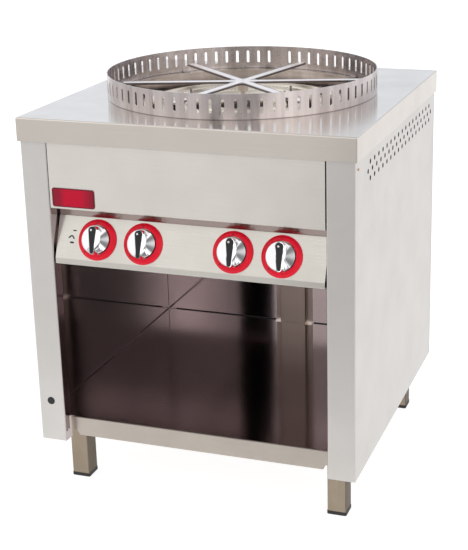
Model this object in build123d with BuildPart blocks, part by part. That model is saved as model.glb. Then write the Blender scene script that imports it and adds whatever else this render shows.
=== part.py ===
from build123d import *

import os
from math import atan2, cos, hypot, sin, sqrt

# Free-standing gas stove: one round burner of four rings, a turning star for the pan, four taps
# on a sloping panel and an open cabinet below. Millimetres. The origin is on the floor under the
# middle of the worktop, +Z is up, the taps face -Y and +X is on the user's right.

# Sheet metal shared by the shell
sheet = 1.5
fold = 3

# Worktop
top_side = 700
top_height = 810
skirt_depth = 48

# Cabinet shell
cabinet_inset = 5
body_bottom = 112
pillar_width = 57
pillar_return = 28
rear_flange = 20
side_flange = 20
vent_radius = 5
vent_pitch = 33
vent_columns = 17
vent_row_step = 16.25
vent_middle_y = 26
vent_middle_z = 722
pillar_plug_radius = 6.75
pillar_plug_side = 27
pillar_plug_height = 201.5
pillar_plug_head = 1.2

# Front
fascia_bottom = 626.5
fascia_gap = 1.5
fascia_top_return = 20
recess_depth = 33
recess_height = 21.5
recess_flange = 18
slope_height = 83
panel_setback = 2
panel_lip = 13
panel_return = 18
panel_gap = 3.5
plate_width = 93
plate_height = 39
plate_corner = 5
plate_thickness = 1
plate_left_gap = 5.5
plate_foot_gap = 5

# Cabinet floor, ceiling and back
shelf_height = 157
shelf_rail = 42
shelf_rail_setback = 27
shelf_rail_half = 282
shelf_rail_corner = 12
shelf_rail_return = 15
notch_clearance = 5
stiffener_notch_gap = 0.5
deck_start_gap = 5
stiffener_face = 62
stiffener_depth = 13.5
stiffener_flange = 16

# Legs
leg_side = 40
leg_wall = 1.5
leg_inset_x = 35
leg_inset_y = 58
leg_plate_side = 70
leg_plate = 3
cap_height = 7.5
cap_overhang = 0.75
cap_plug_height = 12
cap_plug_wall = 2
cap_clearance = 0.2

# Cut-out, guard ring and chamber
burner_y = 6
cutout_radius = 266
ring_radius = 287
ring_sheet = 2
ring_height = 51
slot_count = 72
slot_first_angle = 2.4
slot_unpunched = 18
slot_height = 28
slot_width = 6
slot_foot = 13
clip_count = 8
clip_first_angle = 48
clip_width = 14
clip_foot = 12
clip_height = 10
chamber_sheet = 1
chamber_shadow = 1
chamber_flange = 29

# Rails under the burner
rail_side = 20
rail_wall = 1.5
rail_x = 70
rail_end_plate = 40
rail_end_sheet = 3

# Ring burners
ring_tube_radius = 15
inner_ring_radius = 80
ring_pitch = 45
ring_seat_drop = 20
mixer_radius = 11
mixer_bore = 8.5
mixer_drop = 31
mixer_bend = 16
mixer_mouth_setback = 93.5
mixer_inner_x = 35
mixer_outer_x = 105
bell_radius = 15
bell_length = 16
mixer_bore_depth = 70

# Injectors and pipes
injector_across = 14
injector_length = 16
injector_nose_radius = 4
injector_nose = 14
injector_stem_radius = 5
injector_plate_half = 135
injector_plate_height = 34
injector_plate_gap = 2
injector_flange = 14
supply_radius = 4
supply_bend = 12
supply_rise = 115
supply_step = 34

# Taps, on the axis of each knob; depths are measured back from the panel's outer face
outer_knob_share = 0.6854
inner_knob_share = 0.3339
knob_rise = 43
tap_radius = 14
tap_front_radius = 11
tap_front = 12
tap_back = 52
tap_port_depth = 36
tap_stub_radius = 7
tap_outlet_rise = 27
plug_front_radius = 8.5
plug_back_radius = 6.5
plug_front = 14
plug_back = 47
plug_port_radius = 3
plug_clearance = 0.05
spindle_radius = 4
spindle_flat = 2.8
spindle_back = 28
spindle_front = 22
spindle_socket_spare = 5
spindle_hole_clearance = 0.1
panel_hole_radius = 8
manifold_radius = 10.65
manifold_wall = 2.6
manifold_drop = 25.5
manifold_end = 20
manifold_seat_gap = 0.1
feed_side_step = 35
feed_bend = 26
inlet_thread_radius = 10.48
inlet_hex_across = 27
inlet_hex_length = 13
inlet_hole_clearance = 1.5

# Knobs and bezels
bezel_radius = 41.5
bezel_height = 8
bezel_bore = 30.5
bezel_rim = 2
bezel_shoulder = 5
bezel_shoulder_height = 6.5
knob_lean = 11
knob_radius = 29
knob_seat_gap = 4
knob_disc_top = 15.5
knob_disc_edge = 2
grip_top = 43.5
grip_head_radius = 9
grip_tail_radius = 5
grip_head_y = 17
grip_tail_y = -25.5
grip_base_spread = 1
grip_scoop_radius = 34
grip_scoop_x = 42.5
grip_scoop_taper = 3.5
insert_head_radius = 7.5
insert_tail_radius = 3.5
insert_depth = 3
insert_crown = 2.5
insert_edge = 1.2
insert_clearance = 0.1

# Turning star
star_rise = 23
star_bar = 4
star_bar_width = 22
star_arms = 6
star_angle = 17.4
star_reach = 255
star_web_radius = 9
star_end_radius = 3
boss_radius = 10.5
boss_length = 17
shaft_radius = 5
shaft_flat = 3.6
shaft_tail = 15
shaft_chamfer = 1
shaft_clearance = 0.05
shaft_top_gap = 1.5
bearing_radius = 15
bearing_height = 30
bearing_flange_radius = 30
bearing_flange = 5
bearing_plate = 5
bearing_plate_width = 70
collar_radius = 11
collar_height = 10
collar_bore_gap = 0.02
running_gap = 0.3

# Thermocouples: each stands in the gap outside a ring, at an angle from +X
probe_radius = 2.5
probe_top_gap = 10
probe_strip = 2
probe_strip_width = 12
probe_places = ((0, 47), (1, 64), (1, 161), (2, 47))

# Places that follow from the sizes above
cabinet_half = top_side / 2 - cabinet_inset
inner_half = cabinet_half - sheet
top_underside = top_height - sheet
pillar_inner_x = cabinet_half - pillar_width
fascia_half = pillar_inner_x - fascia_gap
panel_half = pillar_inner_x - panel_gap
outer_knob_x = outer_knob_share * panel_half
inner_knob_x = inner_knob_share * panel_half
knob_xs = (-outer_knob_x, -inner_knob_x, inner_knob_x, outer_knob_x)
manifold_half = outer_knob_x + manifold_end
feed_x = manifold_half + feed_side_step
recess_y = -(cabinet_half - recess_depth)
panel_front_y = -(cabinet_half - panel_setback)
slope_top_z = fascia_bottom - recess_height
slope_foot_z = slope_top_z - slope_height
panel_bottom = slope_foot_z - panel_lip
deck_top = panel_bottom + 2 * sheet
pillar_back_y = -(cabinet_half - pillar_return)
sheet_front_y = pillar_back_y + notch_clearance
shelf_front_y = -(cabinet_half - shelf_rail_setback)
leg_x = cabinet_half - leg_inset_x - leg_side / 2
leg_y = cabinet_half - leg_inset_y - leg_side / 2
leg_places = {
    "front_left": (-leg_x, -leg_y),
    "front_right": (leg_x, -leg_y),
    "back_left": (-leg_x, leg_y),
    "back_right": (leg_x, leg_y),
}
ring_inner_radius = ring_radius - ring_sheet
chamber_radius = cutout_radius + chamber_shadow
ring_axis_z = top_height - ring_seat_drop - ring_tube_radius
rail_top = ring_axis_z - ring_tube_radius
mixer_z = ring_axis_z - mixer_drop
mixer_mouth_y = mixer_mouth_setback - inner_half
mixer_xs = (-mixer_inner_x, mixer_inner_x, -mixer_outer_x, mixer_outer_x)
star_top = top_height + star_rise
ring_radii = [inner_ring_radius + ring_pitch * step for step in range(len(knob_xs))]
burner_axis = Axis((0, burner_y, 0), (0, 0, 1))

# The panel's slope: its angle, its outward normal and the direction up it
slope_angle = atan2(recess_y - panel_front_y, slope_height)
slope_normal = Vector(0, -cos(slope_angle), sin(slope_angle))
slope_up = Vector(0, sin(slope_angle), cos(slope_angle))
knob_origin = Vector(0, panel_front_y, slope_foot_z) + slope_up * knob_rise
knob_plane = Plane(origin=knob_origin, x_dir=(1, 0, 0), z_dir=slope_normal)
port_centre = knob_origin - slope_normal * tap_port_depth
manifold_centre = port_centre - slope_up * manifold_drop

os.makedirs("parts", exist_ok=True)


def save(part, name):
    """Labels a finished piece and writes it under its own name."""
    part.label = name
    export_step(part, f"parts/{name}.step")


def save_row(part, name):
    """Writes a piece made at the middle of the panel once for each knob."""
    for number, x in enumerate(knob_xs, start=1):
        with BuildPart() as copy:
            with Locations((x, 0, 0)):
                add(part)
        save(copy.part, f"{name}_{number}")


def folded(plane, points):
    """Section of a folded sheet that lies to the left of its outer line."""
    with BuildSketch(plane) as section:
        with BuildLine():
            FilletPolyline(*points, radius=fold)
            offset(amount=sheet, side=Side.LEFT)
        make_face()
    return section.sketch


# Worktop: one sheet with its skirt folded down all round and the round cut-out
with BuildPart() as worktop:
    with BuildSketch(Plane.XY.offset(top_height - skirt_depth)):
        Rectangle(top_side, top_side)
    extrude(amount=skirt_depth)
    fillet(worktop.edges().filter_by(Axis.Z), radius=fold)
    fillet(worktop.faces().sort_by(Axis.Z)[-1].edges(), radius=fold)
    offset(amount=-sheet, openings=worktop.faces().sort_by(Axis.Z)[0])
    with Locations((0, burner_y, top_height)):
        Hole(cutout_radius, depth=2 * sheet)
save(worktop.part, "worktop")

# Right side panel: side, front pillar and rear flange are one folded sheet
with BuildPart() as right_side_panel:
    panel_line = (
        (pillar_inner_x, pillar_back_y),
        (pillar_inner_x, -cabinet_half),
        (cabinet_half, -cabinet_half),
        (cabinet_half, inner_half),
        (cabinet_half - rear_flange, inner_half),
    )
    extrude(folded(Plane.XY.offset(body_bottom), panel_line), amount=top_underside - body_bottom)
    with BuildSketch(Plane.YZ.offset(cabinet_half)):
        with Locations((vent_middle_y, vent_middle_z)):
            with GridLocations(vent_pitch, 2 * vent_row_step, vent_columns, 2):
                Circle(vent_radius)
            with GridLocations(vent_pitch, vent_row_step, vent_columns + 1, 1):
                Circle(vent_radius)
    extrude(amount=-2 * sheet, mode=Mode.SUBTRACT)
save(right_side_panel.part, "right_side_panel")

# Left side panel: the mirror image, with a plugged hole low in its pillar
with BuildPart() as left_side_panel:
    mirror(right_side_panel.part, about=Plane.YZ)
    with BuildSketch(Plane.XZ.offset(cabinet_half)):
        with Locations((-cabinet_half + pillar_plug_side, pillar_plug_height)):
            Circle(pillar_plug_radius)
    extrude(amount=-2 * sheet, mode=Mode.SUBTRACT)
save(left_side_panel.part, "left_side_panel")

# Plug in that hole: a low head outside and a stem that fills the hole
with BuildPart() as pillar_plug:
    with BuildSketch(Plane.XZ.offset(cabinet_half)):
        with Locations((-cabinet_half + pillar_plug_side, pillar_plug_height)):
            Circle(pillar_plug_radius + sheet)
    extrude(amount=pillar_plug_head)
    chamfer(pillar_plug.faces().sort_by(Axis.Y)[0].edges(), length=pillar_plug_head / 2)
    with BuildSketch(Plane.XZ.offset(cabinet_half)):
        with Locations((-cabinet_half + pillar_plug_side, pillar_plug_height)):
            Circle(pillar_plug_radius - cap_clearance)
    extrude(amount=-2 * sheet)
save(pillar_plug.part, "pillar_plug")

# Fascia: closed front above the taps, folded back over them
with BuildPart() as front_fascia:
    fascia_line = (
        (-cabinet_half + fascia_top_return, top_underside),
        (-cabinet_half, top_underside),
        (-cabinet_half, fascia_bottom),
        (recess_y, fascia_bottom),
        (recess_y, fascia_bottom + recess_flange),
    )
    extrude(folded(Plane.YZ, fascia_line), amount=fascia_half, both=True)
save(front_fascia.part, "front_fascia")

# Red plate on the fascia
with BuildPart() as front_plate:
    plate_x = -fascia_half + plate_left_gap + plate_width / 2
    plate_z = fascia_bottom + plate_foot_gap + plate_height / 2
    with BuildSketch(Plane.XZ.offset(cabinet_half)):
        with Locations((plate_x, plate_z)):
            RectangleRounded(plate_width, plate_height, plate_corner)
    extrude(amount=plate_thickness)
save(front_plate.part, "front_plate")

# Control panel: upright flange behind the fascia, slope, lip and a return under the deck
with BuildPart() as control_panel:
    control_line = (
        (recess_y, fascia_bottom + recess_flange),
        (recess_y, slope_top_z),
        (panel_front_y, slope_foot_z),
        (panel_front_y, panel_bottom),
        (panel_front_y + panel_return, panel_bottom),
    )
    extrude(folded(Plane.YZ, control_line), amount=panel_half, both=True)
    with BuildSketch(knob_plane):
        with Locations(*[(x, 0) for x in knob_xs]):
            Circle(panel_hole_radius)
    extrude(amount=-2 * sheet, both=True, mode=Mode.SUBTRACT)
save(control_panel.part, "control_panel")

# Deck: ceiling of the cabinet and floor of the gas space, on the panel's return
with BuildPart() as inner_deck:
    deck_line = (
        (inner_half, deck_top - side_flange),
        (inner_half, deck_top),
        (-inner_half, deck_top),
        (-inner_half, deck_top - side_flange),
    )
    extrude(folded(Plane.XZ.offset(-sheet_front_y), deck_line), amount=sheet_front_y - inner_half + fold)
    with BuildSketch(Plane.XY.offset(deck_top)):
        with Locations((0, (panel_front_y + deck_start_gap + sheet_front_y + fold) / 2)):
            Rectangle(2 * panel_half, sheet_front_y + fold - panel_front_y - deck_start_gap)
    extrude(amount=-sheet)
save(inner_deck.part, "inner_deck")

# Bottom shelf: flanged at the sides, with a deep front rail and a notch round the back stiffener
with BuildPart() as bottom_shelf:
    shelf_line = (
        (inner_half, shelf_height - side_flange),
        (inner_half, shelf_height),
        (-inner_half, shelf_height),
        (-inner_half, shelf_height - side_flange),
    )
    extrude(folded(Plane.XZ.offset(-sheet_front_y), shelf_line), amount=sheet_front_y - inner_half + fold)
    rail_line = (
        (sheet_front_y + fold, shelf_height),
        (shelf_front_y, shelf_height),
        (shelf_front_y, shelf_height - shelf_rail),
        (shelf_front_y + shelf_rail_return, shelf_height - shelf_rail),
    )
    extrude(folded(Plane.YZ, rail_line), amount=shelf_rail_half, both=True)
    with BuildSketch(Plane.XZ.offset(-shelf_front_y + sheet)):
        for side in (-1, 1):
            with BuildLine():
                corner_x = side * shelf_rail_half
                corner_z = shelf_height - shelf_rail
                start = (corner_x - side * shelf_rail_corner, corner_z)
                end = (corner_x, corner_z + shelf_rail_corner)
                RadiusArc(start, end, side * shelf_rail_corner)
                Polyline(end, (corner_x, corner_z), start)
            make_face()
    extrude(amount=-shelf_rail_return - 2 * sheet, mode=Mode.SUBTRACT)
    with BuildSketch(Plane.XY.offset(shelf_height)):
        with Locations((0, inner_half)):
            Rectangle(
                stiffener_face + 2 * stiffener_flange + 2 * stiffener_notch_gap,
                2 * (stiffener_depth + sheet + stiffener_notch_gap),
            )
    extrude(amount=-2 * sheet, mode=Mode.SUBTRACT)
save(bottom_shelf.part, "bottom_shelf")

# Back panel, over the rear flanges of the sides, with the hole for the gas inlet
with BuildPart() as back_panel:
    with BuildSketch(Plane.XZ.offset(-cabinet_half)):
        with Locations((0, (top_underside + body_bottom) / 2)):
            Rectangle(2 * cabinet_half, top_underside - body_bottom)
        with Locations((feed_x, manifold_centre.Z)):
            Circle(manifold_radius + inlet_hole_clearance, mode=Mode.SUBTRACT)
    extrude(amount=sheet)
save(back_panel.part, "back_panel")

# Upright stiffener on the back panel: a hat section from the shelf's underside to the deck
with BuildPart() as back_stiffener:
    hat_half = stiffener_face / 2
    hat_front = inner_half - stiffener_depth
    hat_line = (
        (-hat_half - stiffener_flange, inner_half),
        (-hat_half, inner_half),
        (-hat_half, hat_front),
        (hat_half, hat_front),
        (hat_half, inner_half),
        (hat_half + stiffener_flange, inner_half),
    )
    stiffener_foot = shelf_height - side_flange
    with BuildSketch(Plane.XY.offset(stiffener_foot)):
        with BuildLine():
            Polyline(*hat_line)
            offset(amount=sheet, side=Side.RIGHT)
        make_face()
    extrude(amount=deck_top - sheet - stiffener_foot)
save(back_stiffener.part, "back_stiffener")

# Legs: square tube with a plate that is bolted under the shelf
for place, (x, y) in leg_places.items():
    with BuildPart() as leg:
        plate_z = shelf_height - sheet - leg_plate
        with BuildSketch(Plane.XY.offset(cap_height)):
            with Locations((x, y)):
                RectangleRounded(leg_side, leg_side, fold)
                inside = leg_side - 2 * leg_wall
                RectangleRounded(inside, inside, fold - leg_wall, mode=Mode.SUBTRACT)
        extrude(amount=plate_z - cap_height)
        with BuildSketch(Plane.XY.offset(plate_z)):
            with Locations((x, y)):
                RectangleRounded(leg_plate_side, leg_plate_side, fold)
        extrude(amount=leg_plate)
    save(leg.part, f"leg_{place}")

# Foot caps: a tread under each tube and a hollow plug inside it
with BuildPart() as foot_caps:
    tread = leg_side + 2 * cap_overhang
    plug_side = leg_side - 2 * leg_wall - 2 * cap_clearance
    plug_inside = plug_side - 2 * cap_plug_wall
    with BuildSketch(Plane.XY):
        with Locations(*leg_places.values()):
            RectangleRounded(tread, tread, fold + cap_overhang)
    extrude(amount=cap_height)
    chamfer(foot_caps.faces().group_by(Axis.Z)[0].edges(), length=cap_overhang)
    with BuildSketch(Plane.XY.offset(cap_height)):
        with Locations(*leg_places.values()):
            RectangleRounded(plug_side, plug_side, fold - leg_wall)
            Rectangle(plug_inside, plug_inside, mode=Mode.SUBTRACT)
    extrude(amount=cap_plug_height)
save(foot_caps.part, "foot_caps")

# Guard ring: a rolled strip with upright slots at an even pitch and one place left whole
with BuildPart() as slotted_ring:
    with BuildSketch(Plane.XY.offset(top_height)):
        with Locations((0, burner_y)):
            Circle(ring_radius)
            Circle(ring_inner_radius, mode=Mode.SUBTRACT)
    extrude(amount=ring_height)
    slot_middle_z = top_height + slot_foot + slot_height / 2
    slot_planes = []
    for number in range(slot_count):
        if number == slot_unpunched:
            continue
        angle = slot_first_angle + 360 / slot_count * number
        outward = Vector(1, 0, 0).rotate(Axis.Z, angle)
        wall_point = Vector(0, burner_y, slot_middle_z) + outward * (ring_inner_radius - ring_sheet)
        slot_planes.append(Plane(origin=wall_point, x_dir=(0, 0, 1), z_dir=outward))
    with BuildSketch(*slot_planes):
        SlotOverall(slot_height, slot_width)
    extrude(amount=3 * ring_sheet, mode=Mode.SUBTRACT)
save(slotted_ring.part, "slotted_ring")

# Clips that hold the ring's foot to the worktop
with BuildPart() as ring_clips:
    clip_reach = sqrt(ring_inner_radius**2 - (clip_width / 2) ** 2)
    for number in range(clip_count):
        angle = clip_first_angle + 360 / clip_count * number
        outward = Vector(1, 0, 0).rotate(Axis.Z, angle)
        clip_plane = Plane(
            origin=(0, burner_y, top_height),
            x_dir=outward,
            z_dir=outward.cross(Vector(0, 0, 1)),
        )
        clip_line = (
            (clip_reach - clip_foot, 0),
            (clip_reach, 0),
            (clip_reach, clip_height),
        )
        extrude(folded(clip_plane, clip_line), amount=clip_width / 2, both=True)
save(ring_clips.part, "ring_clips")

# Chamber wall: a polished band that hangs from a flange under the cut-out, down to the rails
with BuildPart() as chamber_wall:
    with BuildSketch(Plane.XZ.offset(-burner_y)):
        with Locations((chamber_radius + chamber_sheet / 2, (top_underside + rail_top) / 2)):
            Rectangle(chamber_sheet, top_underside - rail_top)
        with Locations((chamber_radius + chamber_flange / 2, top_underside - chamber_sheet / 2)):
            Rectangle(chamber_flange, chamber_sheet)
    revolve(axis=burner_axis)
save(chamber_wall.part, "chamber_wall")

# Rails under the burner, from the fascia to the back panel, with a plate at each end
with BuildPart() as support_rails:
    for x in (-rail_x, rail_x):
        with BuildSketch(Plane.XZ.offset(-inner_half)):
            with Locations((x, rail_top - rail_side / 2)):
                RectangleRounded(rail_side, rail_side, fold)
                hollow = rail_side - 2 * rail_wall
                RectangleRounded(hollow, hollow, fold - rail_wall, mode=Mode.SUBTRACT)
        extrude(amount=2 * inner_half)
        for end_y, direction in ((inner_half, 1), (-inner_half, -1)):
            with BuildSketch(Plane.XZ.offset(-end_y)):
                with Locations((x, rail_top - rail_side / 2)):
                    Rectangle(rail_end_plate, rail_end_plate)
            extrude(amount=direction * rail_end_sheet)
save(support_rails.part, "support_rails")

# Ring burners: each ring is fed by its own tube, which runs forward under the rings outside it
for number, (radius, x) in enumerate(zip(ring_radii, mixer_xs), start=1):
    with BuildPart() as ring_burner:
        with BuildSketch(Plane.XZ.offset(-burner_y)):
            with Locations((radius, ring_axis_z)):
                Circle(ring_tube_radius)
        revolve(axis=burner_axis)
        feed_y = burner_y - sqrt(radius**2 - x**2)
        mixer_back = mixer_mouth_y + bell_length
        with BuildLine() as mixer_path:
            FilletPolyline(
                (x, feed_y, ring_axis_z),
                (x, feed_y, mixer_z),
                (x, mixer_back, mixer_z),
                radius=mixer_bend,
            )
        with BuildSketch(Plane(origin=mixer_path.line @ 0, z_dir=mixer_path.line % 0)):
            Circle(mixer_radius)
        sweep()
        with BuildSketch(Plane.XZ.offset(-mixer_back)):
            with Locations((x, mixer_z)):
                Circle(mixer_radius)
        with BuildSketch(Plane.XZ.offset(-mixer_mouth_y)):
            with Locations((x, mixer_z)):
                Circle(bell_radius)
        loft()
        with BuildSketch(Plane.XZ.offset(-mixer_mouth_y)):
            with Locations((x, mixer_z)):
                Circle(bell_radius - sheet)
        with BuildSketch(Plane.XZ.offset(-mixer_back)):
            with Locations((x, mixer_z)):
                Circle(mixer_bore)
        loft(mode=Mode.SUBTRACT)
        with BuildSketch(Plane.XZ.offset(-mixer_back)):
            with Locations((x, mixer_z)):
                Circle(mixer_bore)
        extrude(amount=-min(mixer_bore_depth, feed_y - mixer_bend - mixer_back), mode=Mode.SUBTRACT)
    save(ring_burner.part, f"ring_burner_{number}")

# Plate between the rails that carries the star's bearing
with BuildPart() as bearing_plate_part:
    with BuildSketch(Plane.XY.offset(rail_top - rail_side)):
        with Locations((0, burner_y)):
            Rectangle(2 * rail_x - rail_side, bearing_plate_width)
            Circle(shaft_radius + running_gap, mode=Mode.SUBTRACT)
    extrude(amount=bearing_plate)
save(bearing_plate_part.part, "bearing_plate")

# Bearing housing: a flanged tube, bored for the shaft
bearing_foot = rail_top - rail_side + bearing_plate
bearing_top = bearing_foot + bearing_height
with BuildPart() as bearing_housing:
    with BuildSketch(Plane.XY.offset(bearing_foot)):
        with Locations((0, burner_y)):
            Circle(bearing_flange_radius)
    extrude(amount=bearing_flange)
    with BuildSketch(Plane.XY.offset(bearing_foot)):
        with Locations((0, burner_y)):
            Circle(bearing_radius)
    extrude(amount=bearing_height)
    chamfer(bearing_housing.edges().filter_by(GeomType.CIRCLE).sort_by(Axis.Z)[-1], length=sheet)
    with Locations((0, burner_y, bearing_top)):
        Hole(shaft_radius + shaft_clearance)
save(bearing_housing.part, "bearing_housing")

# Shaft: round in the bearing, with a flat where the star is pushed on
boss_bottom = star_top - star_bar - boss_length
shaft_bottom = rail_top - rail_side - shaft_tail
shaft_top = star_top - star_bar - shaft_top_gap
with BuildPart() as star_shaft:
    with BuildSketch(Plane.XY.offset(shaft_bottom)):
        with Locations((0, burner_y)):
            Circle(shaft_radius)
    extrude(amount=shaft_top - shaft_bottom)
    with BuildSketch(Plane.XY.offset(boss_bottom)):
        with Locations((shaft_flat + shaft_radius / 2, burner_y)):
            Rectangle(shaft_radius, 2 * shaft_radius)
    extrude(amount=boss_length, mode=Mode.SUBTRACT)
    chamfer(star_shaft.edges().group_by(Axis.Z)[0], length=shaft_chamfer)
save(star_shaft.part, "star_shaft")

# Collar on the shaft, which carries it on the bearing housing
with BuildPart() as shaft_collar:
    with BuildSketch(Plane.XY.offset(bearing_top + running_gap)):
        with Locations((0, burner_y)):
            Circle(collar_radius)
            Circle(shaft_radius + collar_bore_gap, mode=Mode.SUBTRACT)
    extrude(amount=collar_height)
    chamfer(shaft_collar.edges().filter_by(GeomType.CIRCLE).group_by(Axis.Z)[-1], length=sheet / 2)
save(shaft_collar.part, "shaft_collar")

# Star: six flat bars webbed together at the hub, over a boss that fits the shaft's flat
with BuildPart() as star:
    with BuildSketch(Plane.XY.offset(star_top - star_bar)) as star_outline:
        with Locations((0, burner_y)):
            with PolarLocations(0, star_arms, start_angle=star_angle):
                with Locations((star_reach / 2, 0)):
                    Rectangle(star_reach, star_bar_width)
        crotches = star_outline.vertices().filter_by(
            lambda vertex: hypot(vertex.X, vertex.Y - burner_y) < star_reach / 2
        )
        fillet(crotches, radius=star_web_radius)
        tips = star_outline.vertices().filter_by(
            lambda vertex: hypot(vertex.X, vertex.Y - burner_y) > star_reach - star_end_radius
        )
        fillet(tips, radius=star_end_radius)
    extrude(amount=star_bar)
    with BuildSketch(Plane.XY.offset(boss_bottom)):
        with Locations((0, burner_y)):
            Circle(boss_radius)
    extrude(amount=boss_length)
    with BuildSketch(Plane.XY.offset(boss_bottom)) as socket:
        with Locations((0, burner_y)):
            Circle(shaft_radius + shaft_clearance)
        with Locations((shaft_flat + shaft_clearance + shaft_radius / 2, burner_y)):
            Rectangle(shaft_radius, 3 * shaft_radius, mode=Mode.SUBTRACT)
    extrude(amount=boss_length - shaft_top_gap + shaft_clearance, mode=Mode.SUBTRACT)
save(star.part, "star")

# Thermocouples: rods between the rings, on a rail or on a strip that runs out from under it
with BuildPart() as thermocouples:
    for gap, angle in probe_places:
        gap_radius = inner_ring_radius + ring_pitch * (gap + 0.5)
        place = Vector(gap_radius, 0, 0).rotate(Axis.Z, angle) + Vector(0, burner_y, 0)
        rail_middle = rail_x if place.X > 0 else -rail_x
        over_rail = abs(place.X - rail_middle) < rail_side / 2 + probe_radius
        foot_z = rail_top if over_rail else rail_top - rail_side
        with BuildSketch(Plane.XY.offset(foot_z)):
            with Locations((place.X, place.Y)):
                Circle(probe_radius)
        extrude(amount=ring_axis_z + ring_tube_radius + probe_top_gap - foot_z)
        if not over_rail:
            with BuildSketch(Plane.XY.offset(foot_z)):
                with Locations(((place.X + rail_middle) / 2, place.Y)):
                    Rectangle(abs(place.X - rail_middle) + probe_strip_width, probe_strip_width)
            extrude(amount=-probe_strip)
save(thermocouples.part, "thermocouples")

# Plate that holds the injectors, notched over the rails
mixer_mouth_plane = mixer_mouth_y - injector_length
with BuildPart() as injector_holder:
    plate_top = rail_top - injector_plate_gap
    holder_line = (
        (mixer_mouth_plane - injector_flange, plate_top - injector_plate_height),
        (mixer_mouth_plane, plate_top - injector_plate_height),
        (mixer_mouth_plane, plate_top),
    )
    extrude(folded(Plane.YZ, holder_line), amount=injector_plate_half, both=True)
    with BuildSketch(Plane.XZ.offset(-mixer_mouth_plane)):
        for side in (-rail_x, rail_x):
            with Locations((side, rail_top - rail_side / 2)):
                Rectangle(rail_side + running_gap, rail_side)
        for x in mixer_xs:
            with Locations((x, mixer_z)):
                Circle(injector_stem_radius)
    extrude(amount=2 * sheet, both=True, mode=Mode.SUBTRACT)
save(injector_holder.part, "injector_holder")

# Injectors: a stem through the plate, a hexagon and a nose inside the tube's mouth
with BuildPart() as injectors:
    for x in mixer_xs:
        with BuildSketch(Plane.XZ.offset(-mixer_mouth_plane)):
            with Locations((x, mixer_z)):
                RegularPolygon(injector_across / 2, 6, major_radius=False)
        extrude(amount=-injector_length / 2)
        with BuildSketch(Plane.XZ.offset(-mixer_mouth_plane)):
            with Locations((x, mixer_z)):
                Circle(injector_nose_radius)
        extrude(amount=-injector_length - injector_nose / 2)
        with BuildSketch(Plane.XZ.offset(-mixer_mouth_plane)):
            with Locations((x, mixer_z)):
                Circle(injector_stem_radius - cap_clearance / 2)
        extrude(amount=injector_flange / 2)
save(injectors.part, "injectors")

# Tap body: a barrel with its front neck on the panel, a foot on the manifold and an outlet on top
with BuildPart() as tap_body:
    with BuildSketch(knob_plane.offset(-tap_back)):
        Circle(tap_radius)
    extrude(amount=tap_back - tap_front)
    with BuildSketch(knob_plane.offset(-tap_front)):
        Circle(tap_front_radius)
    extrude(amount=tap_front - sheet)
    with BuildSketch(Plane(origin=port_centre, x_dir=(1, 0, 0), z_dir=-slope_up)):
        Circle(tap_stub_radius)
    extrude(amount=manifold_drop)
    with BuildSketch(Plane(origin=port_centre, x_dir=(1, 0, 0), z_dir=(0, 0, 1))):
        Circle(tap_stub_radius)
    extrude(amount=tap_outlet_rise)
    with BuildSketch(Plane.YZ.offset(-tap_radius)):
        with Locations((manifold_centre.Y, manifold_centre.Z)):
            Circle(manifold_radius + manifold_seat_gap)
    extrude(amount=2 * tap_radius, mode=Mode.SUBTRACT)
    with BuildSketch(knob_plane.offset(-plug_back - running_gap)):
        Circle(plug_back_radius + plug_clearance)
    with BuildSketch(knob_plane.offset(-plug_front + running_gap)):
        Circle(plug_front_radius + plug_clearance)
    loft(mode=Mode.SUBTRACT)
    with BuildSketch(knob_plane.offset(-plug_front)):
        Circle(spindle_radius + spindle_hole_clearance)
    extrude(amount=plug_front, mode=Mode.SUBTRACT)
save_row(tap_body.part, "tap_body")

# Tap plug: a taper with a cross port and a flatted socket for the spindle
with BuildPart() as tap_plug:
    with BuildSketch(knob_plane.offset(-plug_back)):
        Circle(plug_back_radius)
    with BuildSketch(knob_plane.offset(-plug_front)):
        Circle(plug_front_radius)
    loft()
    with BuildSketch(knob_plane.offset(-spindle_back - spindle_socket_spare)):
        Circle(spindle_radius + plug_clearance)
        with Locations((spindle_flat + plug_clearance + spindle_radius / 2, 0)):
            Rectangle(spindle_radius, 3 * spindle_radius, mode=Mode.SUBTRACT)
    extrude(amount=tap_back, mode=Mode.SUBTRACT)
    with BuildSketch(Plane(origin=port_centre, x_dir=(1, 0, 0), z_dir=slope_up)):
        Circle(plug_port_radius)
    extrude(amount=tap_radius, both=True, mode=Mode.SUBTRACT)
save_row(tap_plug.part, "tap_plug")

# Spindle: slides in the plug's socket when the knob is pushed
with BuildPart() as tap_spindle:
    with BuildSketch(knob_plane.offset(-spindle_back)):
        Circle(spindle_radius)
        with Locations((spindle_flat + spindle_radius / 2, 0)):
            Rectangle(spindle_radius, 3 * spindle_radius, mode=Mode.SUBTRACT)
    extrude(amount=spindle_back + spindle_front)
save_row(tap_spindle.part, "tap_spindle")

# Bezel: a ring on the panel round each knob, sloped outwards in two steps
knob_section = Plane(origin=knob_origin, x_dir=(1, 0, 0), z_dir=-slope_up)
knob_axis = Axis(knob_origin, slope_normal)
with BuildPart() as bezel:
    with BuildSketch(knob_section):
        with BuildLine():
            Polyline(
                (bezel_bore, 0),
                (bezel_radius, 0),
                (bezel_radius, bezel_rim),
                (bezel_radius - bezel_shoulder, bezel_shoulder_height),
                (bezel_bore, bezel_height),
                close=True,
            )
        make_face()
    revolve(axis=knob_axis)
save_row(bezel.part, "bezel")

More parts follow.
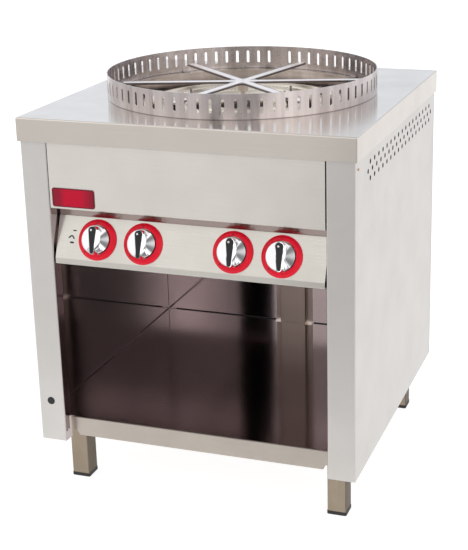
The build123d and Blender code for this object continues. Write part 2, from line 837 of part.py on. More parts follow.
# Knob: a round skirt and a lofted grip, flared at the pointer end and scooped at both sides
grip_plane = knob_plane.rotated((0, 0, knob_lean))
with BuildPart() as knob:
    with BuildSketch(knob_plane.offset(knob_seat_gap)):
        Circle(knob_radius)
    extrude(amount=knob_disc_top - knob_seat_gap)
    fillet(knob.edges().sort_by(knob_axis)[-1], radius=knob_disc_edge)
    for height, spread in ((knob_disc_top, grip_base_spread), (grip_top, 0)):
        with BuildSketch(grip_plane.offset(height)):
            with Locations((0, grip_head_y)):
                Circle(grip_head_radius + spread)
            with Locations((0, grip_tail_y)):
                Circle(grip_tail_radius + spread)
            make_hull()
    loft()
    with BuildSketch(grip_plane.offset(knob_disc_top)):
        with Locations((-grip_scoop_x, 0), (grip_scoop_x, 0)):
            Circle(grip_scoop_radius)
    extrude(amount=grip_top, taper=-grip_scoop_taper, mode=Mode.SUBTRACT)
    with BuildSketch(grip_plane.offset(grip_top - insert_depth)):
        with Locations((0, grip_head_y)):
            Circle(insert_head_radius + insert_clearance)
        with Locations((0, grip_tail_y)):
            Circle(insert_tail_radius + insert_clearance)
        make_hull()
    extrude(amount=grip_top, mode=Mode.SUBTRACT)
    with BuildSketch(knob_plane):
        Circle(spindle_radius + insert_clearance / 2)
    extrude(amount=spindle_front + insert_clearance, mode=Mode.SUBTRACT)
save_row(knob.part, "knob")

# Insert: the black pointer strip set into the crest of the grip
with BuildPart() as knob_insert:
    with BuildSketch(grip_plane.offset(grip_top - insert_depth)):
        with Locations((0, grip_head_y)):
            Circle(insert_head_radius)
        with Locations((0, grip_tail_y)):
            Circle(insert_tail_radius)
        make_hull()
    extrude(amount=insert_depth + insert_crown)
    chamfer(knob_insert.faces().sort_by(knob_axis)[-1].edges(), length=insert_edge)
save_row(knob_insert.part, "knob_insert")

# Supply pipes: from each tap's outlet up, across and back into its injector
with BuildPart() as supply_pipes:
    outlet_z = port_centre.Z + tap_outlet_rise
    stem_end = mixer_mouth_plane - injector_flange / 2
    for knob_x, mixer_x in zip(knob_xs, sorted(mixer_xs)):
        with BuildLine() as supply_path:
            FilletPolyline(
                (knob_x, port_centre.Y, outlet_z),
                (knob_x, port_centre.Y, outlet_z + supply_rise),
                (mixer_x, port_centre.Y, mixer_z - supply_step),
                (mixer_x, port_centre.Y, mixer_z),
                (mixer_x, stem_end, mixer_z),
                radius=supply_bend,
            )
        with BuildSketch(Plane(origin=supply_path.line @ 0, z_dir=supply_path.line % 0)):
            Circle(supply_radius)
        sweep()
save(supply_pipes.part, "supply_pipes")

# Manifold: the gas pipe under the taps, closed at its left end
with BuildPart() as gas_manifold:
    with BuildSketch(Plane.YZ.offset(-manifold_half)):
        with Locations((manifold_centre.Y, manifold_centre.Z)):
            Circle(manifold_radius)
    extrude(amount=2 * manifold_half)
    with BuildSketch(Plane.YZ.offset(-manifold_half + 2 * manifold_wall)):
        with Locations((manifold_centre.Y, manifold_centre.Z)):
            Circle(manifold_radius - manifold_wall)
    extrude(amount=2 * manifold_half, mode=Mode.SUBTRACT)
save(gas_manifold.part, "gas_manifold")

# Feed pipe: from the manifold round to the back panel
knob_reach = -knob_insert.part.bounding_box().min.Y
hex_start_y = cabinet_half + running_gap
with BuildPart() as gas_feed_pipe:
    with BuildLine() as feed_path:
        FilletPolyline(
            (manifold_half, manifold_centre.Y, manifold_centre.Z),
            (feed_x, manifold_centre.Y, manifold_centre.Z),
            (feed_x, hex_start_y, manifold_centre.Z),
            radius=feed_bend,
        )
    with BuildSketch(Plane(origin=feed_path.line @ 0, z_dir=feed_path.line % 0)):
        Circle(manifold_radius)
        Circle(manifold_radius - manifold_wall, mode=Mode.SUBTRACT)
    sweep()
save(gas_feed_pipe.part, "gas_feed_pipe")

# Inlet: a hexagon against the back panel and the thread that the gas line screws on to
with BuildPart() as gas_inlet:
    with BuildSketch(Plane.XZ.offset(-hex_start_y)):
        with Locations((feed_x, manifold_centre.Z)):
            RegularPolygon(inlet_hex_across / 2, 6, major_radius=False)
    extrude(amount=-inlet_hex_length)
    with BuildSketch(Plane.XZ.offset(-hex_start_y)):
        with Locations((feed_x, manifold_centre.Z)):
            Circle(inlet_thread_radius)
    extrude(amount=hex_start_y - knob_reach)
    chamfer(gas_inlet.edges().filter_by(GeomType.CIRCLE).sort_by(Axis.Y)[-1], length=sheet / 2)
    with BuildSketch(Plane.XZ.offset(-hex_start_y)):
        with Locations((feed_x, manifold_centre.Z)):
            Circle(manifold_radius - manifold_wall)
    extrude(amount=hex_start_y - knob_reach, mode=Mode.SUBTRACT)
save(gas_inlet.part, "gas_inlet")
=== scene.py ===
"""Looks of the single burner gas stove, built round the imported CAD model.

The CAD solids stay as they are and get their finishes here. The small parts that are too fine
for the solids, such as screws, prints and weld beads, are added as surfaces worked out with
numpy. Everything is in metres, in the frame of the CAD model: the front of the stove faces -Y,
and Z is up.
"""

import logging
import math
from dataclasses import dataclass, field
from enum import Enum

import bpy
import numpy as np
from mathutils import Matrix, Vector


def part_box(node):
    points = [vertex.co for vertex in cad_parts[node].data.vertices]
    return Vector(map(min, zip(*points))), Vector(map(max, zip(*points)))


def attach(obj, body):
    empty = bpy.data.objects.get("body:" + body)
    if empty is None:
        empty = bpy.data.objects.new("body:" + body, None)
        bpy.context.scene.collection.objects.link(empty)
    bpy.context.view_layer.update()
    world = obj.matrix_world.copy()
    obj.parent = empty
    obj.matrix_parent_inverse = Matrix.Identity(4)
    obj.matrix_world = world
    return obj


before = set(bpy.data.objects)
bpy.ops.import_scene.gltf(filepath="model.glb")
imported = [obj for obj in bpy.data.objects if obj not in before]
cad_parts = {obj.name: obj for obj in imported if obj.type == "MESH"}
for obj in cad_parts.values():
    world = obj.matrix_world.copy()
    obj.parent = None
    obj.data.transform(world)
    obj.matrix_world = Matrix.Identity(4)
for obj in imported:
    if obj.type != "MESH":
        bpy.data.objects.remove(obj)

LOG = logging.getLogger("stove")
MM = 0.001
TURN = 2.0 * math.pi
AXIS_X, AXIS_Y, AXIS_Z = np.eye(3)

Tree = bpy.types.NodeTree
Node = bpy.types.Node
Socket = bpy.types.NodeSocket
Pair = tuple[float, float]
Triple = tuple[float, float, float]

# the burner's four rings, from the inside out: their axis, their centre line and their radii
BURNER_AXIS_MM = (0.0, 6.0)
BURNER_LINE_MM = 775.0
BURNER_RADII_MM = (80.0, 125.0, 170.0, 215.0)
# a pan head's upright rim as a share of its height, and where its dome stops short of the pole
HEAD_RIM = 0.35
DOME_END = 0.49 * math.pi
# where a hexagon head's chamfer begins, and what it leaves of the top, as shares
HEX_CHAMFER = (0.85, 0.88)
# how much a weld bead swells and shrinks from ripple to ripple
BEAD_RIPPLE = 0.2


class Body(Enum):
    """The bodies of the CAD model that new pieces ride on, besides the knobs."""

    STOVE = "stove"
    STAR = "star"


class Slot(Enum):
    """The record's material slots that new pieces stand for."""

    BRUSHED_SHEET = "brushed_sheet"
    POLISHED_SHEET = "polished_sheet"
    BURNER_STEEL = "burner_steel"
    STAR_STEEL = "star_steel"
    PIPE_STEEL = "pipe_steel"
    LEG_STEEL = "leg_steel"
    BRASS = "brass"
    BLACK_PLASTIC = "black_plastic"
    FOOT_PLASTIC = "foot_plastic"
    RED_ENAMEL = "red_enamel"


class Grain(Enum):
    """The direction in which a sheet was brushed."""

    ALONG_X = (1.0, 0.0, 0.0)
    ALONG_Z = (0.0, 0.0, 1.0)


# ---- small helpers


def linear(hex_colour: str) -> tuple[float, float, float, float]:
    """Turns an sRGB hex colour into a linear one.

    Args:
        hex_colour: six hex digits after a hash sign.

    Returns:
        Linear red, green, blue and an alpha of one.
    """
    coded = np.array([int(hex_colour[i : i + 2], 16) for i in (1, 3, 5)]) / 255.0
    light = np.where(coded <= 0.04045, coded / 12.92, ((coded + 0.055) / 1.055) ** 2.4)
    return (*light.tolist(), 1.0)


def add_node(tree: Tree, kind: str, inputs: dict | None = None, **settings) -> Node:
    """Adds one shader node, sets it up and links it.

    Args:
        tree: the node tree that gets the node.
        kind: the node's type, without the words that all shader nodes' types start with.
        inputs: a value, a socket or a node for each input, by its name or number. A node
            stands for the first of its outputs that is in use.
        settings: the node's own properties.

    Returns:
        The new node.
    """
    node = tree.nodes.new("ShaderNode" + kind)
    for name, value in settings.items():
        setattr(node, name, value)
    for name, value in (inputs or {}).items():
        if isinstance(value, Node):
            value = next(socket for socket in value.outputs if socket.enabled)
        if isinstance(value, Socket):
            tree.links.new(value, node.inputs[name])
        else:
            node.inputs[name].default_value = value
    return node


def points_mm(x: object, y: object, z: object) -> np.ndarray:
    """Joins coordinates in millimetres, numbers or arrays, into rows of points in metres."""
    return np.stack(np.broadcast_arrays(x, y, z), axis=-1).reshape(-1, 3) * MM


def grid_faces(rows: int, columns: int, closed: bool, caps: tuple[bool, bool]) -> list[list[int]]:
    """Joins a grid of points into faces: quads between neighbours, and a fan at each cap.

    Args:
        rows: how many rows of points there are.
        columns: how many points each row has.
        closed: whether the last column joins the first.
        caps: whether the first and the last row are closed with a fan.

    Returns:
        The faces as lists of point numbers. Centres of fans follow the grid's own points.
    """
    number = np.arange(rows * columns).reshape(rows, columns)
    left = number if closed else number[:, :-1]
    right = np.roll(number, -1, axis=1) if closed else number[:, 1:]
    quads = np.stack([left[:-1], right[:-1], right[1:], left[1:]], axis=-1)
    faces = quads.reshape(-1, 4).tolist()
    centre = rows * columns
    for wanted, near, far in ((caps[0], right[0], left[0]), (caps[1], left[-1], right[-1])):
        if wanted:
            faces += np.stack([np.full(near.shape, centre), near, far], axis=-1).tolist()
            centre += 1
    return faces


def surface(
    name: str,
    points: np.ndarray,
    closed: bool = True,
    caps: tuple[bool, bool] = (True, True),
    smooth: bool = True,
) -> bpy.types.Object:
    """Makes one object of one or several equal grids of points.

    Args:
        name: the object's name.
        points: an array of (rows, columns, 3), or of (copies, rows, columns, 3), in metres.
        closed: whether each grid's last column joins its first.
        caps: whether each grid's first and last row are closed.
        smooth: whether the faces are shaded smoothly.

    Returns:
        The object, at the origin, with its place in its mesh.
    """
    copies = points if points.ndim == 4 else points[None]
    count, rows, columns, _ = copies.shape
    ends = [copies[:, row].mean(axis=1, keepdims=True) for row, cap in zip((0, -1), caps) if cap]
    vertices = np.concatenate([copies.reshape(count, rows * columns, 3), *ends], axis=1)
    pattern = grid_faces(rows, columns, closed, caps)
    step = vertices.shape[1]
    faces = [[i + step * copy for i in face] for copy in range(count) for face in pattern]
    mesh = bpy.data.meshes.new(name)
    mesh.from_pydata(vertices.reshape(-1, 3).tolist(), [], faces)
    mesh.polygons.foreach_set("use_smooth", np.full(len(mesh.polygons), smooth))
    mesh.update()
    piece = bpy.data.objects.new(name, mesh)
    bpy.context.scene.collection.objects.link(piece)
    return piece


def lathe(profile: np.ndarray, sides: int) -> np.ndarray:
    """Turns a profile about the local z axis.

    A point of the profile at radius r and height h goes to (r cos a, r sin a, h), with the
    angle a going once round.

    Args:
        profile: an array of (radius, height) from the bottom to the top.
        sides: how many steps the turn has.

    Returns:
        The grid of points, one row for each point of the profile.
    """
    angle = np.arange(sides) * (TURN / sides)
    radius, height = profile[:, :1], profile[:, 1:]
    return np.stack(
        [radius * np.cos(angle), radius * np.sin(angle), height + 0.0 * angle], axis=-1
    )


def frames_along(axis: np.ndarray, near: np.ndarray) -> np.ndarray:
    """Works out a right-handed frame whose third axis is given.

    Args:
        axis: an array of (..., 3), the third axis of each frame.
        near: the direction that the first axis leans to.

    Returns:
        An array of (..., 3, 3) whose rows are the three axes.
    """
    third = axis / np.linalg.norm(axis, axis=-1, keepdims=True)
    first = near - third * np.sum(near * third, axis=-1, keepdims=True)
    first = first / np.linalg.norm(first, axis=-1, keepdims=True)
    return np.stack([first, np.cross(third, first), third], axis=-2)


def place(
    points: np.ndarray, origins: np.ndarray, axis: np.ndarray, near: np.ndarray
) -> np.ndarray:
    """Sets copies of a shape at several places, each with its z axis turned along an axis.

    Args:
        points: the shape's grid of (rows, columns, 3).
        origins: the places, (copies, 3).
        axis: where the shape's z axis points, (3,) or (copies, 3).
        near: where its x axis leans, (3,) or (copies, 3).

    Returns:
        An array of (copies, rows, columns, 3).
    """
    places = np.atleast_2d(origins)
    axes, leans = (np.broadcast_to(way, places.shape) for way in (axis, near))
    turned = np.einsum("rcj,kji->krci", points, frames_along(axes, leans))
    return turned + places[:, None, None, :]


def tube(
    path: np.ndarray, radius: float | np.ndarray, sides: int, closed: bool = False
) -> np.ndarray:
    """Carries a circle along a path.

    The circle at each point stands square to the path's direction there, which is the
    difference of its neighbours.

    Args:
        path: the points of the centre line, (steps, 3).
        radius: the circle's radius, one for all or (steps, 1, 1).
        sides: how many points the circle has.
        closed: whether the path joins its own start.

    Returns:
        The grid of points, one row for each point of the path.
    """
    if closed:
        direction = np.roll(path, -1, axis=0) - np.roll(path, 1, axis=0)
    else:
        direction = np.gradient(path, axis=0)
    # nearly upright, so that no level or upright path runs along it
    leaning = np.array([0.013, 0.017, 1.0])
    axes = frames_along(direction, np.broadcast_to(leaning, path.shape))
    angle = np.arange(sides) * (TURN / sides)
    across = axes[:, 0, None, :] * np.cos(angle)[None, :, None]
    up = axes[:, 1, None, :] * np.sin(angle)[None, :, None]
    return path[:, None, :] + radius * (across + up)


def pan_head(radius_mm: float, height_mm: float, steps: int = 5, sides: int = 14) -> np.ndarray:
    """Shapes a pan screw head, which stands on the local xy plane.

    Over an upright rim of the share s of the height H, a point at the angle t, which runs
    from nought to nearly a quarter turn, has the radius R cos t and the height
    H (s + (1 - s) sin t).

    Args:
        radius_mm: the head's radius R.
        height_mm: the head's height H.
        steps: how many rows the dome has.
        sides: how many steps the turn has.

    Returns:
        The grid of points, in metres.
    """
    turn = np.linspace(0.0, DOME_END, steps)
    rise = height_mm * (HEAD_RIM + (1.0 - HEAD_RIM) * np.sin(turn))
    dome = np.column_stack([radius_mm * np.cos(turn), rise])
    return lathe(np.vstack([[radius_mm, 0.0], dome]) * MM, sides)


def hex_head(across_mm: float, height_mm: float) -> np.ndarray:
    """Shapes a hexagon head with a chamfered top, which stands on the local xy plane.

    Args:
        across_mm: the size across its flats.
        height_mm: its height.

    Returns:
        The grid of points, a lathe turn of six steps, in metres.
    """
    corner = across_mm / math.sqrt(3.0)
    start, left = HEX_CHAMFER
    profile = [[corner, 0.0], [corner, start * height_mm], [left * corner, height_mm]]
    return lathe(np.array(profile) * MM, 6)


def weld_bead(path: np.ndarray, radius_mm: float, pitch_mm: float, sides: int = 8) -> np.ndarray:
    """Carries a bead round a closed path, swollen in even ripples as the torch stepped on.

    The radius at the distance d along the path is R (1 + 0.2 sin(2 pi d / pitch)).

    Args:
        path: the points of the closed centre line, (steps, 3), in metres.
        radius_mm: the bead's mean radius R.
        pitch_mm: the distance from ripple to ripple.
        sides: how many points go round the bead.

    Returns:
        The grid of points, in metres.
    """
    stride = np.linalg.norm(np.roll(path, -1, axis=0) - path, axis=-1)
    ripples = np.round(stride.sum() / (pitch_mm * MM))
    travel = np.concatenate([[0.0], np.cumsum(stride)[:-1]]) / stride.sum()
    swell = radius_mm * MM * (1.0 + BEAD_RIPPLE * np.sin(TURN * ripples * travel))
    return tube(path, swell[:, None, None], sides, closed=True)


def circle_mm(middle_mm: Triple, radius_mm: float, steps: int) -> np.ndarray:
    """Goes once round a level circle.

    Args:
        middle_mm: the circle's centre.
        radius_mm: its radius.
        steps: how many points it has.

    Returns:
        The points, (steps, 3), in metres.
    """
    angle = np.arange(steps) * (TURN / steps)
    x, y, z = middle_mm
    return points_mm(x + radius_mm * np.cos(angle), y + radius_mm * np.sin(angle), z)


# ---- finishes


def uneven(
    tree: Tree, pattern: Node, colours: tuple[str, str], tone_at: Pair, gloss_at: Pair, gloss: Pair
) -> dict[str, object]:
    """Lets a pattern carry a colour from dark to light, and the roughness between two values.

    Args:
        tree: the node tree to add to.
        pattern: the node that gives the pattern.
        colours: the dark and the light colour.
        tone_at: the pattern's values at which the colour is all dark and all light.
        gloss_at: the pattern's values at which the roughness reaches its two ends.
        gloss: the roughness at these ends.

    Returns:
        The shader's colour and roughness, by the names of its inputs.
    """
    tone = add_node(
        tree, "MapRange", {"Value": pattern, "From Min": tone_at[0], "From Max": tone_at[1]}
    )
    dark, light = (linear(colour) for colour in colours)
    colour = add_node(tree, "Mix", {0: tone, 6: dark, 7: light}, data_type="RGBA")
    limits = dict(zip(("From Min", "From Max", "To Min", "To Max"), (*gloss_at, *gloss)))
    return {
        "Base Color": colour,
        "Roughness": add_node(tree, "MapRange", {"Value": pattern, **limits}),
    }


@dataclass(frozen=True)
class Finish:
    """A finish, whose pattern is in the object's own metres."""

    name: str

    def sockets(self, tree: Tree, spot: Socket) -> dict[str, object]:
        """Works out what feeds the shader, which each kind of finish does in its own way.

        Args:
            tree: the node tree to add to.
            spot: the socket of the object's coordinates.

        Returns:
            A value, a node or a socket for each input of the shader, by its name.
        """
        raise NotImplementedError

    def material(self) -> bpy.types.Material:
        """Builds the material.

        Returns:
            The material, whose one shader is fed by the pattern.
        """
        material = bpy.data.materials.new(self.name)
        material.use_nodes = True
        tree = material.node_tree
        tree.nodes.clear()
        spot = add_node(tree, "TexCoord").outputs["Object"]
        shader = add_node(tree, "BsdfPrincipled", self.sockets(tree, spot))
        add_node(tree, "OutputMaterial", {"Surface": shader})
        return material


@dataclass(frozen=True)
class MillSide:
    """The side of a sheet that was rolled and never ground, inside a box of its space."""

    low_mm: Triple
    high_mm: Triple
    light: str = "#BDB2B2"
    dark: str = "#B4A9A9"
    roughness: float = 0.06
    # how far it bows towards the floor, as the tangent of an angle
    bow: float = 0.0

    def share(self, tree: Tree, spot: Socket) -> Node:
        """Tells the mill side from the ground side.

        Args:
            tree: the node tree to add to.
            spot: the socket of the object's coordinates.

        Returns:
            A node that gives one inside the mill side's box and nought outside it.
        """
        low, high = Vector(self.low_mm) * MM, Vector(self.high_mm) * MM
        offset = add_node(tree, "VectorMath", {0: spot, 1: (low + high) / 2}, operation="SUBTRACT")
        reach = add_node(tree, "VectorMath", {0: offset}, operation="ABSOLUTE")
        excess = add_node(tree, "VectorMath", {0: reach, 1: (high - low) / 2}, operation="SUBTRACT")
        axes = add_node(tree, "SeparateXYZ", {0: excess}).outputs
        flat = add_node(tree, "Math", {0: axes["X"], 1: axes["Y"]}, operation="MAXIMUM")
        most = add_node(tree, "Math", {0: flat, 1: axes["Z"]}, operation="MAXIMUM")
        return add_node(tree, "Math", {0: most, 1: 0.0}, operation="LESS_THAN")

    def cover(
        self, tree: Tree, spot: Socket, clouds: Node, buckle: Node, ground: dict[str, object]
    ) -> dict[str, object]:
        """Puts the mill side's look in place of the ground side's.

        Args:
            tree: the node tree to add to.
            spot: the socket of the object's coordinates.
            clouds: the node of the sheet's clouds.
            buckle: the node of the sheet's slight waves.
            ground: what feeds the shader on the ground side.

        Returns:
            What feeds it on both sides.
        """
        mill = self.share(tree, spot)
        dark, light = linear(self.dark), linear(self.light)
        rolled = add_node(tree, "Mix", {0: clouds, 6: dark, 7: light}, data_type="RGBA")
        down = Vector((0.0, 0.0, -self.bow))
        bowed = add_node(tree, "VectorMath", {0: buckle, 1: down}, operation="ADD")
        colour = {0: mill, 6: ground["Base Color"], 7: rolled}
        normal = {0: mill, 4: ground["Normal"], 5: bowed}
        rough = {0: mill, 2: ground["Roughness"], 3: self.roughness}
        return ground | {
            "Base Color": add_node(tree, "Mix", colour, data_type="RGBA"),
            "Roughness": add_node(tree, "Mix", rough),
            "Anisotropic": add_node(tree, "Mix", {0: mill, 2: ground["Anisotropic"], 3: 0.0}),
            "Normal": add_node(tree, "Mix", normal, data_type="VECTOR"),
        }


@dataclass(frozen=True)
class BrushedSteel(Finish):
    """Stainless steel sheet, belt ground in one direction.

    The grinding leaves long fine scratches, so light spreads across them and hardly along them,
    and faint streaks and clouds show where the belt pressed harder.
    """

    grain: Grain
    light: str
    dark: str
    roughness: float = 0.36
    anisotropy: float = 0.85
    streak_length_mm: float = 160.0
    # a scratch is 0.1 mm wide, too fine to show, so the streaks are drawn 15 times as wide
    streak_width_mm: float = 1.5
    scratch_depth_mm: float = 0.05
    scratch_strength: float = 0.12
    cloud_mm: float = 90.0
    wave_mm: float = 170.0
    wave_depth_mm: float = 0.10
    mill: MillSide | None = None
    # painted shade: how much darker the colour of the faces on the right is than that of the front
    # ones
    painted_side_shade: float = 0.0

    def sockets(self, tree: Tree, spot: Socket) -> dict[str, object]:
        """Works out what feeds the shader.

        Args:
            tree: the node tree to add to.
            spot: the socket of the object's coordinates.

        Returns:
            A value, a node or a socket for each input of the shader, by its name.
        """
        along = np.array(self.grain.value)
        fine = along / (self.streak_length_mm * MM) + (1.0 - along) / (self.streak_width_mm * MM)
        stretched = add_node(tree, "Mapping", {"Vector": spot, "Scale": Vector(fine.tolist())})
        streaks, clouds, waves = (
            add_node(
                tree,
                "TexNoise",
                {"Vector": where, "Scale": scale, "Detail": detail, "Roughness": rough},
            )
            for where, scale, detail, rough in (
                (stretched, 1.0, 5.0, 0.7),
                (spot, 1.0 / (self.cloud_mm * MM), 3.0, 0.55),
                (spot, 1.0 / (self.wave_mm * MM), 1.0, 0.4),
            )
        )
        mixed = add_node(tree, "Math", {0: streaks, 1: clouds}, operation="MULTIPLY")
        buckle = add_node(tree, "Bump", {"Height": waves, "Distance": self.wave_depth_mm * MM})
        relief = {"Height": streaks, "Distance": self.scratch_depth_mm * MM, "Normal": buckle}
        scratches = add_node(tree, "Bump", {"Strength": self.scratch_strength, **relief})
        normal = add_node(tree, "NewGeometry").outputs["Normal"]
        # a little off the grain, so that no face stands square to it
        leaning = Vector(self.grain.value) + Vector((0.03, 0.05, 0.04))
        across = add_node(tree, "VectorMath", {0: normal, 1: leaning}, operation="CROSS_PRODUCT")
        gloss = (self.roughness + 0.03, self.roughness - 0.02)
        colours = (self.dark, self.light)
        look = uneven(tree, mixed, colours, (0.14, 0.38), (0.12, 0.40), gloss)
        look |= {"Metallic": 1.0, "Anisotropic": self.anisotropy}
        look |= {"Tangent": across, "Normal": scratches}
        if self.mill is not None:
            look = self.mill.cover(tree, spot, clouds, buckle, look)
        if self.painted_side_shade:
            # painted shade: faces turned towards +x are mixed towards black
            facing = add_node(tree, "SeparateXYZ", {0: normal}).outputs["X"]
            share = add_node(tree, "Math", {0: facing, 1: self.painted_side_shade}, operation="MULTIPLY")
            shaded = {0: share, 6: look["Base Color"], 7: linear("#000000")}
            look["Base Color"] = add_node(tree, "Mix", shaded, data_type="RGBA")
        return look


@dataclass(frozen=True)
class MottledMetal(Finish):
    """Metal with a soft, directionless finish: rolled, plated, cast or tumbled.

    Clouds of two tones change its colour and gloss a little, and a shallow grain breaks up
    its highlights.
    """

    light: str
    dark: str
    roughness: float
    cloud_mm: float = 40.0
    grain_mm: float = 1.2
    grain_depth_mm: float = 0.01
    wave_mm: float = 120.0
    wave_depth_mm: float = 0.0
    spread: float = 0.06

    def sockets(self, tree: Tree, spot: Socket) -> dict[str, object]:
        """Works out what feeds the shader.

        Args:
            tree: the node tree to add to.
            spot: the socket of the object's coordinates.

        Returns:
            A value, a node or a socket for each input of the shader, by its name.
        """
        clouds, grain, waves = (
            add_node(
                tree,
                "TexNoise",
                {"Vector": spot, "Scale": 1.0 / (size * MM), "Detail": detail, "Roughness": rough},
            )
            for size, detail, rough in (
                (self.cloud_mm, 4.0, 0.6),
                (self.grain_mm, 2.0, 0.5),
                (self.wave_mm, 1.0, 0.4),
            )
        )
        buckle = add_node(tree, "Bump", {"Height": waves, "Distance": self.wave_depth_mm * MM})
        relief = {"Height": grain, "Distance": self.grain_depth_mm * MM, "Normal": buckle}
        gloss = (self.roughness + self.spread, self.roughness - self.spread)
        look = uneven(tree, clouds, (self.dark, self.light), (0.35, 0.65), (0.3, 0.7), gloss)
        return look | {
            "Metallic": 1.0,
            "Normal": add_node(tree, "Bump", {"Strength": 0.5, **relief}),
        }


@dataclass(frozen=True)
class RolledBandSteel(Finish):
    """Polished stainless strip, rolled into a ring.

    The rollers leave shallow upright flutes, which draw the room out into bright and dark
    upright bands. A painted shadow darkens the strip just above its foot.
    """

    axis_mm: Pair
    light: str = "#D4CCCB"
    dark: str = "#B8AEAD"
    # the colour of the painted shadow along the strip's foot
    foot_shadow: str = "#1A1716"
    roughness: float = 0.25
    anisotropy: float = 0.8
    # the height of the strip's foot, and how far up from it the painted shadow reaches
    foot_mm: float = 0.0
    foot_shadow_mm: float = 1.8
    cloud_mm: float = 35.0
    flute_mm: float = 26.0
    flute_depth_mm: float = 0.35
    # how much of a flute's pattern changes with height
    flute_drift: float = 0.03
    radius_mm: float = 280.0

    def sockets(self, tree: Tree, spot: Socket) -> dict[str, object]:
        """Works out what feeds the shader. The flutes are noise on the angle about the axis.

        Args:
            tree: the node tree to add to.
            spot: the socket of the object's coordinates.

        Returns:
            A value, a node or a socket for each input of the shader, by its name.
        """
        start = Vector((-self.axis_mm[0] * MM, -self.axis_mm[1] * MM, 0.0))
        flatten = Vector((1.0, 1.0, self.flute_drift))
        centred = add_node(tree, "Mapping", {"Vector": spot, "Location": start, "Scale": flatten})
        flat = add_node(tree, "VectorMath", {0: centred}, operation="NORMALIZE")
        flutes, clouds = (
            add_node(
                tree,
                "TexNoise",
                {"Vector": where, "Scale": scale, "Detail": detail, "Roughness": rough},
            )
            for where, scale, detail, rough in (
                (flat, self.radius_mm / self.flute_mm, 3.0, 0.55),
                (spot, 1.0 / (self.cloud_mm * MM), 4.0, 0.6),
            )
        )
        tone = add_node(tree, "MapRange", {"Value": flutes, "From Min": 0.35, "From Max": 0.65})
        dark, light = linear(self.dark), linear(self.light)
        colour = add_node(tree, "Mix", {0: tone, 6: dark, 7: light}, data_type="RGBA")
        low, high = self.roughness - 0.03, self.roughness + 0.05
        limits = {"From Min": 0.3, "From Max": 0.7, "To Min": low, "To Max": high}
        # painted shadow: the colour goes dark just above the strip's foot and fades out upwards
        height = add_node(tree, "SeparateXYZ", {0: spot}).outputs["Z"]
        foot, shadow_top = self.foot_mm * MM, (self.foot_mm + self.foot_shadow_mm) * MM
        rise = {"From Min": foot, "From Max": shadow_top, "To Min": 0.8, "To Max": 0.0}
        shadow_share = add_node(tree, "MapRange", {"Value": height, **rise})
        shadowed_colour = {0: shadow_share, 6: colour, 7: linear(self.foot_shadow)}
        # the strip was ground along its length, so the light spreads up and down it
        normal = add_node(tree, "NewGeometry").outputs["Normal"]
        leaning = Vector((0.03, 0.05, 1.0))
        around = add_node(tree, "VectorMath", {0: leaning, 1: normal}, operation="CROSS_PRODUCT")
        upright = add_node(tree, "VectorMath", {0: normal, 1: around}, operation="CROSS_PRODUCT")
        relief = {"Height": flutes, "Distance": self.flute_depth_mm * MM}
        return {
            "Base Color": add_node(tree, "Mix", shadowed_colour, data_type="RGBA"),
            "Metallic": 1.0,
            "Roughness": add_node(tree, "MapRange", {"Value": clouds, **limits}),
            "Anisotropic": self.anisotropy,
            "Tangent": upright,
            "Normal": add_node(tree, "Bump", relief),
        }


